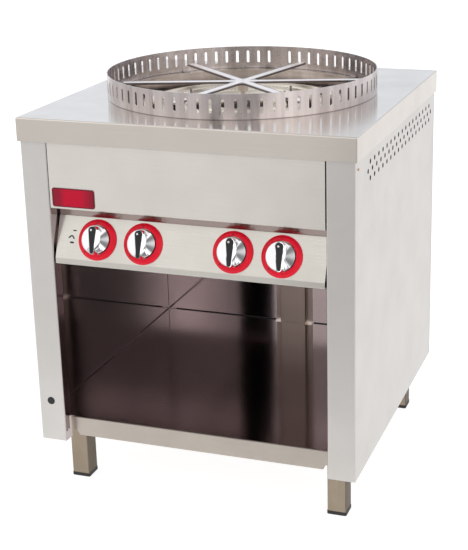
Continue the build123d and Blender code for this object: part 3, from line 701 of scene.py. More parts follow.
@dataclass(frozen=True)
class PortedTubeSteel(Finish):
    """Bright steel tube bent into a ring, with a row of drilled flame ports.

    The ports show as dark dots on top of the tube, painted shade of their holes, and the
    flames have left a straw tint round them.
    """

    axis_mm: Pair
    radius_mm: float
    centre_z_mm: float
    port_mm: float = 3.2
    pitch_mm: float = 9.0
    port_depth_mm: float = 0.6
    # how far from the tube's top line the straw tint begins to fade and ends
    straw_mm: Pair = (1.5, 9.0)
    cloud_mm: float = 30.0
    steel: str = "#F0E7DA"
    straw: str = "#CDB083"
    # the colour of the painted shade inside each port's hole
    port_shade: str = "#14110F"
    roughness: float = 0.34

    def sockets(self, tree: Tree, spot: Socket) -> dict[str, object]:
        """Works out what feeds the shader.

        With r the distance from the ring's axis and a the angle about it, a port's dot is where
        the distance from the nearest multiple of the pitch, measured along the ring, and the
        distance of r from the ring's radius are together less than the port's radius, on the
        upper half of the tube.

        Args:
            tree: the node tree to add to.
            spot: the socket of the object's coordinates.

        Returns:
            A value, a node or a socket for each input of the shader, by its name.
        """
        start = Vector((*self.axis_mm, self.centre_z_mm)) * -MM
        centred = add_node(tree, "Mapping", {"Vector": spot, "Location": start})
        axes = add_node(tree, "SeparateXYZ", {0: centred}).outputs
        level = add_node(
            tree, "VectorMath", {0: centred, 1: Vector((1.0, 1.0, 0.0))}, operation="MULTIPLY"
        )
        reach = add_node(tree, "VectorMath", {0: level}, operation="LENGTH")
        radius = self.radius_mm * MM
        off_ring = add_node(tree, "Math", {0: reach, 1: radius}, operation="SUBTRACT")
        angle = add_node(tree, "Math", {0: axes["Y"], 1: axes["X"]}, operation="ARCTAN2")
        count = round(TURN * self.radius_mm / self.pitch_mm)
        pitches = add_node(tree, "Math", {0: angle, 1: count / TURN}, operation="MULTIPLY")
        share = add_node(tree, "Math", {0: pitches}, operation="FRACT")
        middle = add_node(tree, "Math", {0: share, 1: 0.5}, operation="SUBTRACT")
        arc = add_node(tree, "Math", {0: middle, 1: self.pitch_mm * MM}, operation="MULTIPLY")
        pair = add_node(tree, "CombineXYZ", {"X": arc, "Y": off_ring})
        distance = add_node(tree, "VectorMath", {0: pair}, operation="LENGTH")
        top_side = add_node(tree, "Math", {0: axes["Z"], 1: 0.0}, operation="GREATER_THAN")
        inner, outer = 0.5 * self.port_mm * MM, 0.65 * self.port_mm * MM
        limits = {"From Min": inner, "From Max": outer, "To Min": 1.0, "To Max": 0.0}
        port_edge = add_node(tree, "MapRange", {"Value": distance, **limits})
        port = add_node(tree, "Math", {0: port_edge, 1: top_side}, operation="MULTIPLY")
        off_top = add_node(tree, "Math", {0: off_ring}, operation="ABSOLUTE")
        inner, outer = (end * MM for end in self.straw_mm)
        limits = {"From Min": inner, "From Max": outer, "To Min": 0.55, "To Max": 0.0}
        warm = add_node(tree, "MapRange", {"Value": off_top, **limits})
        cloudy = {"Scale": 1.0 / (self.cloud_mm * MM), "Detail": 4.0, "Roughness": 0.6}
        clouds = add_node(tree, "TexNoise", {"Vector": spot, **cloudy})
        patchy = add_node(tree, "Math", {0: warm, 1: clouds}, operation="MULTIPLY")
        steel, straw = linear(self.steel), linear(self.straw)
        tinted = add_node(tree, "Mix", {0: patchy, 6: steel, 7: straw}, data_type="RGBA")
        # painted shade: the port's dot takes the dark colour
        colour = {0: port, 6: tinted, 7: linear(self.port_shade)}
        low, high = self.roughness - 0.05, self.roughness + 0.08
        limits = {"From Min": 0.3, "From Max": 0.7, "To Min": low, "To Max": high}
        hole = {"Height": port, "Distance": self.port_depth_mm * MM}
        return {
            "Base Color": add_node(tree, "Mix", colour, data_type="RGBA"),
            "Metallic": 1.0,
            "Roughness": add_node(tree, "MapRange", {"Value": clouds, **limits}),
            "Normal": add_node(tree, "Bump", hole, invert=True),
        }


@dataclass(frozen=True)
class HeatTintedSteel(Finish):
    """Ground stainless bar: bright tips, a straw and brown hot hub, and painted shade on the edges.
    """

    axis_mm: Pair
    bright: str = "#F1E7E1"
    straw: str = "#A98E6C"
    brown: str = "#5A4334"
    # how far out from the hub's axis the tint goes, and how raggedly it ends
    tint_mm: float = 14.0
    ragged_mm: float = 18.0
    straw_share: float = 0.35
    # the colour of the painted shade on the bars' edges
    edge: str = "#8B8281"
    # an arm's angle from +x, and how far from its middle line the painted edge shade begins and is
    # full
    arm_deg: float = 17.4
    shaded_edge_mm: Pair = (7.0, 8.6)
    cloud_mm: float = 25.0
    grain_mm: float = 2.0
    grain_depth_mm: float = 0.02
    roughness: float = 0.30

    def sockets(self, tree: Tree, spot: Socket) -> dict[str, object]:
        """Works out what feeds the shader. The tint is a ramp on the distance from the hub.

        Args:
            tree: the node tree to add to.
            spot: the socket of the object's coordinates.

        Returns:
            A value, a node or a socket for each input of the shader, by its name.
        """
        start = Vector((-self.axis_mm[0] * MM, -self.axis_mm[1] * MM, 0.0))
        centred = add_node(tree, "Mapping", {"Vector": spot, "Location": start})
        level = add_node(
            tree, "VectorMath", {0: centred, 1: Vector((1.0, 1.0, 0.0))}, operation="MULTIPLY"
        )
        reach = add_node(tree, "VectorMath", {0: level}, operation="LENGTH")
        clouds, grain = (
            add_node(
                tree,
                "TexNoise",
                {"Vector": spot, "Scale": 1.0 / (size * MM), "Detail": detail, "Roughness": 0.6},
            )
            for size, detail in ((self.cloud_mm, 4.0), (self.grain_mm, 3.0))
        )
        edge = {0: clouds, 1: self.ragged_mm * MM, 2: reach}
        ragged = add_node(tree, "Math", edge, operation="MULTIPLY_ADD")
        tint = add_node(tree, "MapRange", {"Value": ragged, "From Max": self.tint_mm * MM})
        ramp = add_node(tree, "ValToRGB", {0: tint})
        stops = ramp.color_ramp.elements
        stops[0].color, stops[1].color = linear(self.brown), linear(self.bright)
        stops.new(self.straw_share).color = linear(self.straw)
        # how far a point is from the nearest of the three lines that the six arms lie on
        sides = []
        for third in range(3):
            turn = math.radians(self.arm_deg + 60.0 * third)
            square = Vector((-math.sin(turn), math.cos(turn), 0.0))
            side = add_node(tree, "VectorMath", {0: level, 1: square}, operation="DOT_PRODUCT")
            sides.append(add_node(tree, "Math", {0: side}, operation="ABSOLUTE"))
        nearer = add_node(tree, "Math", {0: sides[0], 1: sides[1]}, operation="MINIMUM")
        nearest = add_node(tree, "Math", {0: nearer, 1: sides[2]}, operation="MINIMUM")
        inner, outer = (end * MM for end in self.shaded_edge_mm)
        rim_shade = add_node(tree, "MapRange", {"Value": nearest, "From Min": inner, "From Max": outer})
        # painted shade: the bars' edges take the dark colour
        shaded_edges = {0: rim_shade, 6: ramp, 7: linear(self.edge)}
        low, high = self.roughness - 0.05, self.roughness + 0.07
        limits = {"From Min": 0.3, "From Max": 0.7, "To Min": low, "To Max": high}
        relief = {"Height": grain, "Strength": 0.4, "Distance": self.grain_depth_mm * MM}
        return {
            "Base Color": add_node(tree, "Mix", shaded_edges, data_type="RGBA"),
            "Metallic": 1.0,
            "Roughness": add_node(tree, "MapRange", {"Value": clouds, **limits}),
            "Normal": add_node(tree, "Bump", relief),
        }


@dataclass(frozen=True)
class DomedChrome(Finish):
    """Chrome on a die-cast knob, whose disc is polished to a shallow dome with straight flanks.

    The normal leans outwards from the knob's axis, more and more up to the flanks.
    """

    middle_m: Triple
    axis: Triple
    lean_deg: float
    flank_mm: Pair = (3.0, 9.0)
    # how squarely a face looks along the axis where the lean begins and is full
    disc_facing: Pair = (0.93, 0.985)
    light: str = "#F2F2F3"
    dark: str = "#E6E6E9"
    cloud_mm: float = 20.0
    roughness: float = 0.05

    def sockets(self, tree: Tree, spot: Socket) -> dict[str, object]:
        """Works out what feeds the shader, with the dome about the knob's own axis.

        Args:
            tree: the node tree to add to.
            spot: the socket of the object's coordinates.

        Returns:
            A value, a node or a socket for each input of the shader, by its name.
        """
        normal = add_node(tree, "NewGeometry").outputs["Normal"]
        middle = Vector(self.middle_m)
        offset = add_node(tree, "VectorMath", {0: spot, 1: middle}, operation="SUBTRACT")
        # the knob turns, and the normal is the room's, so the offset is turned with the knob
        reach = add_node(
            tree,
            "VectorTransform",
            {"Vector": offset},
            vector_type="VECTOR",
            convert_from="OBJECT",
            convert_to="WORLD",
        )
        depth = add_node(tree, "VectorMath", {0: reach, 1: normal}, operation="DOT_PRODUCT")
        along = add_node(tree, "VectorMath", {0: normal, "Scale": depth}, operation="SCALE")
        flat = add_node(tree, "VectorMath", {0: reach, 1: along}, operation="SUBTRACT")
        axis = Vector(self.axis)
        facing = add_node(tree, "VectorMath", {0: normal, 1: axis}, operation="DOT_PRODUCT")
        low, high = self.disc_facing
        steepest = math.tan(math.radians(self.lean_deg))
        limits = {"From Min": low, "From Max": high, "To Max": steepest}
        steepness = add_node(tree, "MapRange", {"Value": facing, **limits})
        distance = add_node(tree, "VectorMath", {0: flat}, operation="LENGTH")
        inner, outer = (end * MM for end in self.flank_mm)
        rise = add_node(tree, "MapRange", {"Value": distance, "From Min": inner, "From Max": outer})
        slant = add_node(tree, "Math", {0: steepness, 1: rise}, operation="MULTIPLY")
        outward = add_node(tree, "VectorMath", {0: flat}, operation="NORMALIZE")
        lean = add_node(tree, "VectorMath", {0: outward, "Scale": slant}, operation="SCALE")
        domed = add_node(tree, "VectorMath", {0: normal, 1: lean}, operation="ADD")
        cloudy = {"Vector": spot, "Scale": 1.0 / (self.cloud_mm * MM), "Detail": 3.0}
        swirls = add_node(tree, "TexNoise", cloudy)
        colour = {0: swirls, 6: linear(self.dark), 7: linear(self.light)}
        return {
            "Base Color": add_node(tree, "Mix", colour, data_type="RGBA"),
            "Metallic": 1.0,
            "Roughness": self.roughness,
            "Normal": add_node(tree, "VectorMath", {0: domed}, operation="NORMALIZE"),
        }


@dataclass(frozen=True)
class CoatedSurface(Finish):
    """Paint, enamel, print, moulded plastic, and the painted shade of a gap.

    Its orange peel is a shallow noise, and its colour and gloss are a little uneven.
    """

    light: str
    dark: str
    roughness: float
    peel_mm: float = 1.5
    peel_depth_mm: float = 0.01
    cloud_mm: float = 12.0
    ior: float = 1.5

    def sockets(self, tree: Tree, spot: Socket) -> dict[str, object]:
        """Works out what feeds the shader.

        Args:
            tree: the node tree to add to.
            spot: the socket of the object's coordinates.

        Returns:
            A value, a node or a socket for each input of the shader, by its name.
        """
        clouds, peel = (
            add_node(
                tree,
                "TexNoise",
                {"Vector": spot, "Scale": 1.0 / (size * MM), "Detail": detail, "Roughness": rough},
            )
            for size, detail, rough in ((self.cloud_mm, 3.0, 0.6), (self.peel_mm, 2.0, 0.5))
        )
        gloss = (self.roughness - 0.04, self.roughness + 0.06)
        look = uneven(tree, clouds, (self.dark, self.light), (0.35, 0.65), (0.3, 0.7), gloss)
        relief = {"Height": peel, "Strength": 0.4, "Distance": self.peel_depth_mm * MM}
        return look | {"IOR": self.ior, "Normal": add_node(tree, "Bump", relief)}


@dataclass(frozen=True)
class PaintedSheenPlate(Finish):
    """Clear resin over a red print, with a painted sheen across the middle and painted shade at the
    rim.
    """

    left_mm: float
    width_mm: float
    foot_mm: float
    height_mm: float
    rim_mm: float = 1.6
    # where the rim's painted shade begins at the sides and along the length, and ends, in rims
    rim_from: Pair = (3.0, 2.0)
    rim_to: float = 0.6
    # where the painted sheen begins, is full, fades and ends, as shares of the width
    sheen_at: tuple[float, float, float, float] = (0.16, 0.30, 0.68, 0.92)
    # the painted sheen's colour in the middle, the print's red beside it, and the painted shade's
    # colour at the rim
    glow: str = "#C60430"
    body: str = "#96142E"
    rim_shade: str = "#661A26"
    grain_mm: float = 50.0 / 7.0
    grain_depth_mm: float = 0.01
    roughness: float = 0.12

    def sockets(self, tree: Tree, spot: Socket) -> dict[str, object]:
        """Works out what feeds the shader: a painted sheen across the width, with painted shade on
        the rim.

        Args:
            tree: the node tree to add to.
            spot: the socket of the object's coordinates.

        Returns:
            A value, a node or a socket for each input of the shader, by its name.
        """
        axes = add_node(tree, "SeparateXYZ", {0: spot}).outputs
        left, right = self.left_mm * MM, (self.left_mm + self.width_mm) * MM
        limits = {"From Min": left, "From Max": right}
        share = add_node(tree, "MapRange", {"Value": axes["X"], **limits})
        ramp = add_node(tree, "ValToRGB", {0: share})
        stops = ramp.color_ramp.elements
        stops[0].position, stops[1].position = self.sheen_at[0], self.sheen_at[3]
        stops[0].color = stops[1].color = linear(self.body)
        for full in self.sheen_at[1:3]:
            stops.new(full).color = linear(self.glow)
        rim_shades = []
        for axis, start, size, rim_from in (
            ("X", self.left_mm, self.width_mm, self.rim_from[0]),
            ("Z", self.foot_mm, self.height_mm, self.rim_from[1]),
        ):
            middle = (start + size / 2) * MM
            off = add_node(tree, "Math", {0: axes[axis], 1: middle}, operation="SUBTRACT")
            away = add_node(tree, "Math", {0: off}, operation="ABSOLUTE")
            inner, outer = (
                (size / 2 - count * self.rim_mm) * MM for count in (rim_from, self.rim_to)
            )
            limits = {"From Min": inner, "From Max": outer}
            rim_shades.append(add_node(tree, "MapRange", {"Value": away, **limits}))
        edge = add_node(tree, "Math", {0: rim_shades[0], 1: rim_shades[1]}, operation="MAXIMUM")
        noise = {"Vector": spot, "Scale": 1.0 / (self.grain_mm * MM), "Detail": 3.0}
        grain = add_node(tree, "TexNoise", noise)
        relief = {"Height": grain, "Distance": self.grain_depth_mm * MM}
        colour = {0: edge, 6: ramp, 7: linear(self.rim_shade)}
        return {
            "Base Color": add_node(tree, "Mix", colour, data_type="RGBA"),
            "Roughness": self.roughness,
            "Specular IOR Level": 0.25,
            "Normal": add_node(tree, "Bump", relief),
        }


@dataclass(frozen=True)
class ThreadedBrass(Finish):
    """Brass with a pipe thread beyond a shoulder, as a helical groove in the shading."""

    axis_x_mm: float
    axis_z_mm: float
    shoulder_y_mm: float
    pitch_mm: float = 1.814
    depth_mm: float = 1.16
    cloud_mm: float = 100.0 / 9.0
    light: str = "#C9A35A"
    dark: str = "#A9823F"
    roughness: float = 0.26

    def sockets(self, tree: Tree, spot: Socket) -> dict[str, object]:
        """Works out what feeds the shader: the groove is a saw-tooth of travel plus turn.

        Args:
            tree: the node tree to add to.
            spot: the socket of the object's coordinates.

        Returns:
            A value, a node or a socket for each input of the shader, by its name.
        """
        axes = add_node(tree, "SeparateXYZ", {0: spot}).outputs
        out_x, out_z = (
            add_node(tree, "Math", {0: axes[axis], 1: middle * MM}, operation="SUBTRACT")
            for axis, middle in (("X", self.axis_x_mm), ("Z", self.axis_z_mm))
        )
        angle = add_node(tree, "Math", {0: out_z, 1: out_x}, operation="ARCTAN2")
        turns = add_node(tree, "Math", {0: angle, 1: TURN}, operation="DIVIDE")
        travel = {0: axes["Y"], 1: self.pitch_mm * MM}
        pitches = add_node(tree, "Math", travel, operation="DIVIDE")
        phase = add_node(tree, "Math", {0: pitches, 1: turns}, operation="ADD")
        saw = add_node(tree, "Math", {0: phase, 1: 0.5}, operation="PINGPONG")
        shoulder = {0: axes["Y"], 1: self.shoulder_y_mm * MM}
        beyond = add_node(tree, "Math", shoulder, operation="GREATER_THAN")
        cut = add_node(tree, "Math", {0: saw, 1: beyond}, operation="MULTIPLY")
        groove = {"Height": cut, "Distance": 2.0 * self.depth_mm * MM}
        noise = {"Vector": spot, "Scale": 1.0 / (self.cloud_mm * MM), "Detail": 4.0}
        clouds = add_node(tree, "TexNoise", noise)
        colour = {0: clouds, 6: linear(self.dark), 7: linear(self.light)}
        return {
            "Base Color": add_node(tree, "Mix", colour, data_type="RGBA"),
            "Metallic": 1.0,
            "Roughness": self.roughness,
            "Normal": add_node(tree, "Bump", groove),
        }


# belt ground sheet: long soft highlights across the grain
# the worktop's faces on the right get a little painted shade
WORKTOP_STEEL = BrushedSteel(
    "stainless_brushed_worktop", Grain.ALONG_X, "#DED6CE", "#D8D0C8", 0.18, painted_side_shade=0.15
)
FRONT_STEEL = BrushedSteel("stainless_brushed_front", Grain.ALONG_X, "#E6E1DA", "#E0DBD4")
# the strip of the panel behind the fascia's foot keeps its mill side, and its much darker colour is
# painted shade of the recess there
PANEL_STEEL = BrushedSteel(
    "stainless_brushed_panel", Grain.ALONG_X, "#D7D3CB", "#D1CDC5", 0.28,
    mill=MillSide(
        (-290.0, -318.0, 604.4), (290.0, -290.0, 660.0), "#9A8C87", "#90827D", 0.16, bow=0.34
    ),
)
# the sides' inner faces keep their mill side: a dark, clear mirror
SIDE_STEEL = BrushedSteel(
    "stainless_brushed_side", Grain.ALONG_X, "#D9D5D2", "#D3CFCB",
    mill=MillSide((-344.4, -344.4, 0.0), (344.4, 400.0, 900.0)),
)
# the legs' colour, far darker and browner than the other sheets', is painted shade under the
# cabinet, and their faces on the right get strong painted shade besides
LEG_STEEL = BrushedSteel(
    "stainless_brushed_leg", Grain.ALONG_Z, "#A39585", "#938675",
    streak_length_mm=80.0, painted_side_shade=0.6,
)
# the shelf's colours, its mill side's too, are darker than the other sheets': painted shade inside
# the cabinet
SHELF_STEEL = BrushedSteel(
    "stainless_shelf_sheet", Grain.ALONG_X, "#BFB6AD", "#B8AFA6",
    mill=MillSide((-400.0, -314.0, 156.4), (400.0, 400.0, 200.0), "#B6ABAB", "#ADA2A2", 0.09),
)
STIFFENER_STEEL = BrushedSteel("stainless_brushed_stiffener", Grain.ALONG_Z, "#D2C4BA", "#C8BAB0")
# cold rolled sheet that was never brushed: a dull, dark mirror
INNER_STEEL = MottledMetal(
    "stainless_rolled_inner", "#C6BBBB", "#BDB2B2", 0.07,
    cloud_mm=150.0, grain_depth_mm=0.001, wave_mm=190.0, wave_depth_mm=0.06, spread=0.02,
)
# rolled and polished strip: upright bands of bright and dark, and a painted shadow along the ring's
# foot
RING_STEEL = RolledBandSteel("stainless_rolled_band", BURNER_AXIS_MM, foot_mm=810.0)
CHAMBER_STEEL = RolledBandSteel(
    "stainless_polished_band", BURNER_AXIS_MM, roughness=0.16, anisotropy=0.6, flute_mm=40.0
)
# ground bar that the flames have heated: bright, with a brown hub
STAR_STEEL = HeatTintedSteel("stainless_heat_tinted", BURNER_AXIS_MM)
# electroplated zinc on mild steel: grey, half dull, with soft clouds
ZINC_STEEL = MottledMetal("steel_zinc_plated", "#A3A4A6", "#86878A", 0.38, cloud_mm=18.0)
# turned brass: yellow, with a soft shine, and the inlet's with its thread
TURNED_BRASS = MottledMetal("brass_turned", "#C9A35A", "#A9823F", 0.28, cloud_mm=14.0)
INLET_BRASS = ThreadedBrass(
    "brass_threaded", axis_x_mm=250.0, axis_z_mm=525.8, shoulder_y_mm=358.5
)
# moulded ABS and nylon: black, with the soft shine of a fine mould grain
BLACK_PLASTIC = CoatedSurface(
    "abs_moulded_black", "#161516", "#0E0D0E", 0.32, peel_mm=0.8, peel_depth_mm=0.02
)
FOOT_PLASTIC = CoatedSurface(
    "nylon_moulded_black", "#1C1B1B", "#121111", 0.5, peel_mm=0.9, peel_depth_mm=0.04
)
# stove enamel: a clear red with a satin skin
RED_ENAMEL = CoatedSurface(
    "enamel_stoved_red", "#F2082E", "#E40629", 0.42, peel_mm=6.0, cloud_mm=30.0, ior=1.36
)
# clear resin, poured to a low dome: wet gloss over the print, with a painted sheen across its
# middle and painted shade at its rim
PLATE_RED = PaintedSheenPlate(
    "resin_domed_red", left_mm=-281.0, width_mm=93.0, foot_mm=631.5, height_mm=39.0
)
# drawn and tumbled stainless fasteners: small, round and brighter than the sheet round them
FASTENER_STEEL = MottledMetal(
    "stainless_tumbled_fastener", "#CFCBC6", "#B4AFA9", 0.24, cloud_mm=4.0
)
# a bead left by the welding torch, straw and grey from the heat
WELD_STEEL = MottledMetal("stainless_weld_bead", "#B9AFA2", "#8C7F70", 0.34, cloud_mm=5.0)
# screen printed inks: flat and nearly dull
MARK_ENAMEL = CoatedSurface("ink_screen_printed_oxblood", "#7A0A1C", "#6A0817", 0.35)
WHITE_PRINT = CoatedSurface("ink_screen_printed_white", "#F0EFEC", "#E4E3E0", 0.5)
DARK_PRINT = CoatedSurface("ink_screen_printed_black", "#2A2928", "#1E1D1D", 0.5)
# a black bead in the gap behind the shelf: painted shade of the gap
GAP_SHADE_BLACK = CoatedSurface("gap_shade_black", "#1D1A19", "#131110", 0.45, peel_mm=3.0)

# the CAD nodes of each finish. The legs have theirs by default, and CadBodies adds what comes
# in fours
FINISH_NODES: tuple[tuple[Finish, str], ...] = (
    (WORKTOP_STEEL, "worktop"),
    (SIDE_STEEL, "left_side_panel right_side_panel"),
    (FRONT_STEEL, "front_fascia"),
    (PLATE_RED, "front_plate"),
    (PANEL_STEEL, "control_panel"),
    (INNER_STEEL, "back_panel inner_deck support_rails bearing_plate injector_holder"),
    (SHELF_STEEL, "bottom_shelf"),
    (STIFFENER_STEEL, "back_stiffener"),
    (BLACK_PLASTIC, "pillar_plug"),
    (FOOT_PLASTIC, "foot_caps"),
    (RING_STEEL, "slotted_ring ring_clips"),
    (CHAMBER_STEEL, "chamber_wall"),
    (STAR_STEEL, "star_shaft star"),
    (ZINC_STEEL, "bearing_housing shaft_collar thermocouples gas_manifold gas_feed_pipe"),
    (TURNED_BRASS, "injectors supply_pipes"),
    (INLET_BRASS, "gas_inlet"),
)


# ---- the stove


@dataclass
class Dresser:
    """Gives finishes to pieces, and builds each finish once."""

    built: dict[str, bpy.types.Material] = field(default_factory=dict)

    def dress(self, piece: bpy.types.Object, finish: Finish) -> None:
        """Puts a finish on every material slot of a piece.

        Args:
            piece: the object.
            finish: its finish.
        """
        if finish.name not in self.built:
            self.built[finish.name] = finish.material()
        material = self.built[finish.name]
        if not piece.material_slots:
            piece.data.materials.append(material)
        for slot in piece.material_slots:
            slot.material = material

    def add(
        self, piece: bpy.types.Object, finish: Finish, slot: Slot, body: str = Body.STOVE.value
    ) -> None:
        """Dresses a new piece and sets it on a body.

        Args:
            piece: the new object.
            finish: its finish.
            slot: the record's slot that the finish stands for; not used.
            body: the name of the body that it rides on.
        """
        self.dress(piece, finish)
        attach(piece, body)
        LOG.info("piece %s rides on %s", piece.name, body)

    def add_heads(
        self,
        name: str,
        head: np.ndarray,
        places: np.ndarray,
        ways: tuple[np.ndarray, np.ndarray],
        finish: Finish,
        slot: Slot,
        body: str = Body.STOVE.value,
        smooth: bool = True,
    ) -> None:
        """Sets copies of a screw head, a bolt head or a dot at several places, as one piece.

        Args:
            name: the piece's name.
            head: the grid of one head, open at its foot.
            places: where the heads stand, (copies, 3), in metres.
            ways: where the heads point, and where their x axes lean.
            finish: their finish.
            slot: the record's slot that the finish stands for.
            body: the name of the body that they ride on.
            smooth: whether they are shaded smoothly.
        """
        heads = place(head, places, *ways)
        self.add(surface(name, heads, caps=(False, True), smooth=smooth), finish, slot, body)


@dataclass(frozen=True)
class SlopePlane:
    """The plane of the sloping panel, whose points are given across it, up it and out of it."""

    foot_y_mm: float = -343.0
    foot_z_mm: float = 522.0
    run_mm: float = 31.0
    rise_mm: float = 83.0
    knob_rise_mm: float = 43.0

    @property
    def up(self) -> np.ndarray:
        """The direction up the slope."""
        return np.array([0.0, self.run_mm, self.rise_mm]) / math.hypot(self.run_mm, self.rise_mm)

    @property
    def out(self) -> np.ndarray:
        """The direction square out of the panel."""
        return np.array([0.0, -self.rise_mm, self.run_mm]) / math.hypot(self.run_mm, self.rise_mm)

    def knob_middle(self, box: tuple[Triple, Triple]) -> np.ndarray:
        """Gives the point on the panel that a knob turns about.

        Args:
            box: the low and the high corner of the knob or its bezel.

        Returns:
            The point, in metres.
        """
        x_m = 0.5 * (box[0][0] + box[1][0])
        foot = np.array([x_m, self.foot_y_mm * MM, self.foot_z_mm * MM])
        return foot + self.knob_rise_mm * MM * self.up

    def patch(self, middle: np.ndarray, across: object, upward: object, lift: object) -> np.ndarray:
        """Turns places on the panel into points.

        Args:
            middle: the point that the places are measured from, in metres.
            across: the distances towards +x in millimetres, a number or an array.
            upward: the distances up the slope.
            lift: the distances out of the panel.

        Returns:
            The points in metres, with one more axis of length three.
        """
        steps = np.stack(np.broadcast_arrays(across, upward, lift), axis=-1)
        return middle + steps @ np.stack([AXIS_X, self.up, self.out]) * MM


@dataclass
class SubAssembly:
    """A part of the stove, whose pieces a dresser finishes and sets on their bodies."""

    dresser: Dresser

    def build(self) -> None:
        """Builds and dresses the pieces."""
        raise NotImplementedError


@dataclass
class CadBodies(SubAssembly):
    """The solids of the CAD model, which only get their finishes."""

    slope: SlopePlane = SlopePlane()
    # how far the flanks of each knob's disc lean, from left to right
    knob_lean_deg: tuple[float, ...] = (12.4, 11.4, 9.3, 8.1)

    def build(self) -> None:
        """Dresses every CAD node by its name."""
        finishes = {node: finish for finish, nodes in FINISH_NODES for node in nodes.split()}
        for number, radius in enumerate(BURNER_RADII_MM, start=1):
            finishes[f"ring_burner_{number}"] = PortedTubeSteel(
                f"steel_tube_ported_{number}", BURNER_AXIS_MM, radius, BURNER_LINE_MM
            )
            middle = self.slope.knob_middle(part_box(f"knob_{number}"))
            finishes[f"knob_{number}"] = DomedChrome(
                f"zinc_cast_chrome_plated_{number}",
                tuple(middle.tolist()),
                tuple(self.slope.out.tolist()),
                self.knob_lean_deg[number - 1],
            )
            for family, finish in (
                ("tap_body", TURNED_BRASS),
                ("tap_plug", TURNED_BRASS),
                ("tap_spindle", ZINC_STEEL),
                ("bezel", RED_ENAMEL),
                ("knob_insert", BLACK_PLASTIC),
            ):
                finishes[f"{family}_{number}"] = finish
        for name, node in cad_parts.items():
            finish = finishes.get(name, LEG_STEEL)
            self.dresser.dress(node, finish)
            LOG.info("node %s is %s", name, finish.name)


@dataclass
class WorktopSkirt(SubAssembly):
    """The worktop's skirt: a ground weld runs down the inside of each of its corners."""

    corner_mm: float = 346.4
    foot_mm: float = 762.6
    head_mm: float = 806.5
    bead_mm: float = 1.1
    ripple_mm: float = 2.4
    # the power that keeps the bead straight up to its rounded ends
    end_power: int = 24

    def build(self) -> None:
        """Adds the four corner welds, each a bead whose radius ripples along its height.

        At the share t of the height h the radius is B sqrt(1 - (2 t - 1)^24) times
        1 + 0.2 sin(2 pi h / ripple).
        """
        rise = np.linspace(0.0, 1.0, 48)
        height = (self.head_mm - self.foot_mm) * rise
        ends = np.sqrt(np.clip(1.0 - (2.0 * rise - 1.0) ** self.end_power, 0.0004, 1.0))
        swell = self.bead_mm * ends * (1.0 + BEAD_RIPPLE * np.sin(TURN * height / self.ripple_mm))
        bead = lathe(np.column_stack([swell, height]) * MM, 8)
        x, y = self.corner_mm * np.array([[-1.0, 1.0, 1.0, -1.0], [-1.0, -1.0, 1.0, 1.0]])
        welds = place(bead, points_mm(x, y, self.foot_mm), AXIS_Z, AXIS_X)
        piece = surface("skirt_corner_welds", welds)
        self.dresser.add(piece, WELD_STEEL, Slot.BRUSHED_SHEET)


@dataclass
class CabinetFasteners(SubAssembly):
    """The screws that hold the back panel and the sides, and the bolts of the rails' end plates."""

    wall_mm: float = 345.0
    screw_x_mm: float = 334.0
    screw_z_mm: Pair = (132.0, 788.0)
    screw_rows: int = 7
    screw_radius_mm: float = 3.6
    screw_height_mm: float = 2.2
    rail_x_mm: float = 70.0
    rail_z_mm: float = 750.0
    bolt_reach_mm: float = 14.0
    bolt_across_mm: float = 8.0
    bolt_height_mm: float = 4.0
    side_screw_y_mm: float = -327.0
    side_screw_z_mm: float = 744.0
    side_screw_radius_mm: float = 2.4

    def build(self) -> None:
        """Adds the back panel's screws, the bolts of the rails and the screws of the sides."""
        sides = np.array([-1.0, 1.0])
        backwards = (AXIS_Y, AXIS_Z)
        rows = np.linspace(*self.screw_z_mm, self.screw_rows)
        x, z = np.meshgrid(sides * self.screw_x_mm, rows)
        self.dresser.add_heads(
            "back_panel_screws", pan_head(self.screw_radius_mm, self.screw_height_mm),
            points_mm(x, self.wall_mm, z), backwards, FASTENER_STEEL, Slot.BRUSHED_SHEET,
        )
        reach = sides * self.bolt_reach_mm
        rail, across, up = np.meshgrid(sides * self.rail_x_mm, reach, self.rail_z_mm + reach)
        self.dresser.add_heads(
            "rail_bolts", hex_head(self.bolt_across_mm, self.bolt_height_mm),
            points_mm(rail + across, self.wall_mm, up), backwards, ZINC_STEEL, Slot.PIPE_STEEL,
            smooth=False,
        )
        self.dresser.add_heads(
            "side_screws", pan_head(self.side_screw_radius_mm, self.screw_height_mm),
            points_mm(sides * self.wall_mm, self.side_screw_y_mm, self.side_screw_z_mm),
            (sides[:, None] * AXIS_X, AXIS_Z), TURNED_BRASS, Slot.BRASS,
        )


@dataclass
class ShelfGapShade(SubAssembly):
    """A black bead in the gap behind the shelf, at the back panel: painted shade of the gap."""

    bead_y_mm: float = 343.3
    bead_z_mm: float = 157.4
    bead_radius_mm: float = 1.7
    # from beside the stiffener to beside the side panel's flange
    reach_mm: Pair = (50.0, 323.0)
    steps: int = 24
    sides: int = 12

    def build(self) -> None:
        """Lays one bead on each side of the stiffener, a tube along a straight path."""
        x = np.linspace(*self.reach_mm, self.steps)
        paths = (points_mm(side * x, self.bead_y_mm, self.bead_z_mm) for side in (-1.0, 1.0))
        beads = [tube(path, self.bead_radius_mm * MM, self.sides) for path in paths]
        piece = surface("shelf_gap_shade", np.stack(beads))
        self.dresser.add(piece, GAP_SHADE_BLACK, Slot.FOOT_PLASTIC)


